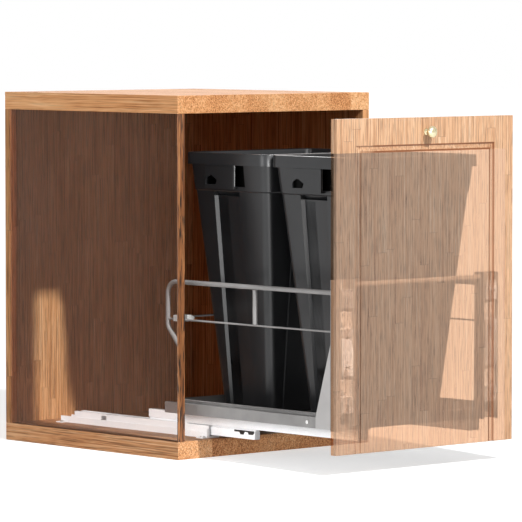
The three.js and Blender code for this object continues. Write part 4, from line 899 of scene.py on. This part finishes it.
for node in NODES:
    stem = node.removesuffix("_left").removesuffix("_right")
    if stem in STEEL:
        eased(node, *STEEL[stem])
    for slot in NODES[node].material_slots:
        slot.material = zinc
print("kept as they are:", sorted(n for n, node in NODES.items() if not node.hide_render))

# %% [markdown]
# Each side rail rises at its front into a gusset that holds the door bracket. On the real carriage it
# is a flat plate of its own under a thicker coat, so it gets a thin face that stands a hair proud.

# %% Gusset faces
GUSSET_FOOT, GUSSET_REAR = 44 * MM, 23 * MM  # how far back it reaches, and how tall its rear edge is
GUSSET_PROUD, GUSSET_SUNK = 0.1 * MM, 1.9 * MM
for side, name in SIDES:
    node = f"base_side_rail_{name}"
    low, high = place_of(node)
    out, front, foot = low[0] if side < 0 else high[0], low[1], low[1] + GUSSET_FOOT
    outline = [(front, low[2]), (foot, low[2]), (foot, low[2] + GUSSET_REAR), (front, high[2])]
    shell = drawn_out(outline, 0, out + side * GUSSET_PROUD, out - side * GUSSET_SUNK)
    piece(f"gusset_face_{name}", shell, "carriage", gusset_coat, [node], "grey_steel", bevel_mm=0.5)
print("gusset", np.round((high[2] - low[2]) / MM), "mm tall")

# %% [markdown]
# A slide is taken apart by a small plastic lever near the front of the middle member. It lies in the
# member's lower flange, and two fingers reach down from its bar.

# %% Slide levers
LEVER_MM = ((0, 9), (62, 9), (62, 5), (46, 5), (43, 0), (33, 0), (29, 6), (20, 6), (17, 1), (5, 1), (0, 4))
LEVER_PLACE = (2 * MM, 8.5 * MM)  # behind the member's front end, and above its lower edge
LEVER_PROUD, LEVER_SUNK = 0.5 * MM, 2.5 * MM
for side, name in SIDES:
    node, body = f"middle_slide_member_{name}", f"middle_slide_{name}"
    low, high = place_of(node)
    out = low[0] if side < 0 else high[0]
    outline = np.array(LEVER_MM) * MM + low[1:] + LEVER_PLACE
    shell = drawn_out(outline, 0, out - side * LEVER_SUNK, out + side * LEVER_PROUD)
    piece(f"slide_lever_{name}", shell, body, black_plastic, [node], "black_plastic", bevel_mm=0.3)
print("lever", np.ptp(np.array(LEVER_MM), axis=0), "mm")

# %% [markdown]
# ## Floor and light
# A plain white floor, one key light from the front, high enough to reach over the door to the back of
# the cabinet, and weaker soft lights: one at the left for the boards' side faces, one behind, and a low
# tall strip at the front left, which draws the bright bands down the bins' corners. The sky gives the
# rest. A lamp of P watts at d metres lights a white surface that faces it to P / (pi d)^2, so together
# they light the front to about 1, and colours come out as they were mixed. Only rays from the camera,
# and those that mirror or pass through, see the background as pure white.

# %% Sky and floor
SKY = 0.21
FLOOR_LIFT = (0.6, 0.85)  # near the object, and far off where the lamps don't reach
NEAR, FAR = 1.5, 7.0  # from the object, in metres
FLOOR_SIZE, FLOOR_DROP = 60.0, 0.5 * MM


def seen_by(tree, *rays):
    """1 for these kinds of rays and 0 for all others: the largest of their flags."""
    path = add(tree, "LightPath").outputs
    seen = path[rays[0]]
    for ray in rays[1:]:
        seen = add(tree, "Math", {0: seen, 1: path[ray]}, operation="MAXIMUM")
    return seen


world = bpy.data.worlds.new("studio")
bpy.context.scene.world = world
world.use_nodes = True
tree = world.node_tree
seen = seen_by(tree, "Is Camera Ray", "Is Transmission Ray", "Is Glossy Ray")
level = add(tree, "MapRange", {0: seen, 3: SKY, 4: 1.0})
feed(tree, tree.nodes["Background"], {"Color": linear("#ffffff"), "Strength": level})

# Seamless paper, white and matt: no gloss, and only a trace of unevenness.
white_floor, tree, shader, place = finish("white_seamless_paper")
mottled(tree, shader, place, 3.0, 2.0, ((0.4, "#e6e6e6"), (0.6, "#e9e9e9")))
far = add(tree, "VectorMath", {0: place}, operation="LENGTH").outputs["Value"]
far = add(tree, "MapRange", {0: far, 1: NEAR, 2: FAR, 3: FLOOR_LIFT[0], 4: FLOOR_LIFT[1]})
seen = seen_by(tree, "Is Camera Ray", "Is Glossy Ray")
lift = add(tree, "Math", {0: seen, 1: far}, operation="MULTIPLY")
feed(tree, shader, {"Roughness": 0.9, "Emission Color": linear("#ffffff"), "Emission Strength": lift})

corners = np.array([[-1, -1, 0], [1, -1, 0], [1, 1, 0], [-1, 1, 0]]) * FLOOR_SIZE / 2
floor = in_scene("floor", mesh_of("floor", (corners - [0, 0, FLOOR_DROP], [[0, 1, 2, 3]])))
floor.data.materials.append(white_floor)
print("floor", FLOOR_SIZE, "m wide")

# %% [markdown]
# Between the bins and the cabinet's top the key light would slip through and draw a bright line across
# the back. As in a studio, a small black card hangs there and takes that light away. It isn't seen.

# %% Black card
CARD_LOW, CARD_HIGH = (-0.194, -0.266, 0.686), (0.256, -0.264, 0.718)

card = in_scene("black_card", mesh_of("black_card", block(CARD_LOW, CARD_HIGH)))
card.data.materials.append(black_plastic)
card.visible_camera = card.visible_diffuse = card.visible_glossy = card.visible_transmission = False
print("card", np.round(np.subtract(CARD_HIGH, CARD_LOW) / MM), "mm")

# %% [markdown]
# The left lamp passes the clear side, so that the carriage is lit, but it leaves out the inner walls,
# which keep their deep shade. The lamp behind leaves out the floor, which would shine too brightly
# through the door. Twins of the key and the left lamp light only what would be lost behind a
# see-through board: the brackets on the door's back, and the white slides. A last lamp near the floor
# shines under the carriage on to the base's front edge.

# %% Lamps
AIM = np.array([0.0, -0.25, 0.4])  # the object's middle
DISTANCE = 6.0
LAMPS = {
    # name: azimuth from the front towards +X and height angle (degrees), width and tallness (m), power (W)
    "key": (-8.5, 38.2, 0.22, 0.22, 362),
    "left": (-88, 12, 2.4, 2.4, 93),
    "strip": (-31, 6, 0.6, 2.0, 210),
    "behind": (140, 35, 2.4, 2.4, 110),
    "door_twin": (-8.5, 38.2, 0.22, 0.22, 460),
    "side_twin": (-88, 12, 2.4, 2.4, 200),
    "low": (-6, -2.7, 0.6, 0.2, 172),
}
LEAVES_OUT = {"left": ["back_panel_board", "right_side_panel_board"], "behind": ["floor"]}
LIGHTS_ONLY = {
    "door_twin": ("door_bracket", "adjuster_plate", "cam_", "crossbar"),
    "side_twin": ("slide_member", "floor_channel"),
    "low": ("bottom_panel_board",),
}
PASSES = {"left": ["clear_side_sheet"], "side_twin": ["clear_side_sheet"], "door_twin": ["door_panel"]}


def lamp(name, azimuth, height, width, tallness, power):
    """An area lamp on a sphere round the object: (sin a cos h, -cos a cos h, sin h) times its distance,
    turned to look at the object's middle."""
    a, h = np.radians((azimuth, height))
    made = in_scene(name, bpy.data.lights.new(name, "AREA"))
    made.location = AIM + DISTANCE * np.array([np.sin(a) * np.cos(h), -np.cos(a) * np.cos(h), np.sin(h)])
    made.rotation_euler = (np.pi / 2 - h, 0.0, a)
    made.data.shape = "RECTANGLE"
    made.data.size, made.data.size_y, made.data.energy = width, tallness, power
    return made


def chosen(name, members, state):
    """A collection that tells a lamp to leave its members out, or to light only them."""
    made = bpy.data.collections.new(name)
    for member in members:
        made.objects.link(bpy.data.objects[member])
    for member in made.collection_objects:
        member.light_linking.link_state = state
    return made


for name, values in LAMPS.items():
    made = lamp(name, *values)
    made.visible_diffuse = name != "strip"  # the strip only shows in what is glossy
    linking = made.light_linking
    if name in LEAVES_OUT:
        linking.receiver_collection = chosen(f"{name}_leaves_out", LEAVES_OUT[name], "EXCLUDE")
    if name in LIGHTS_ONLY:
        lit = [o.name for o in bpy.data.objects if any(stem in o.name for stem in LIGHTS_ONLY[name])]
        linking.receiver_collection = chosen(f"{name}_lights", lit, "INCLUDE")
    if name in PASSES:
        linking.blocker_collection = chosen(f"{name}_passes", PASSES[name], "EXCLUDE")
bpy.context.scene.view_settings.view_transform = "Standard"
print("lamps:", ", ".join(LAMPS))

# %% End
import json
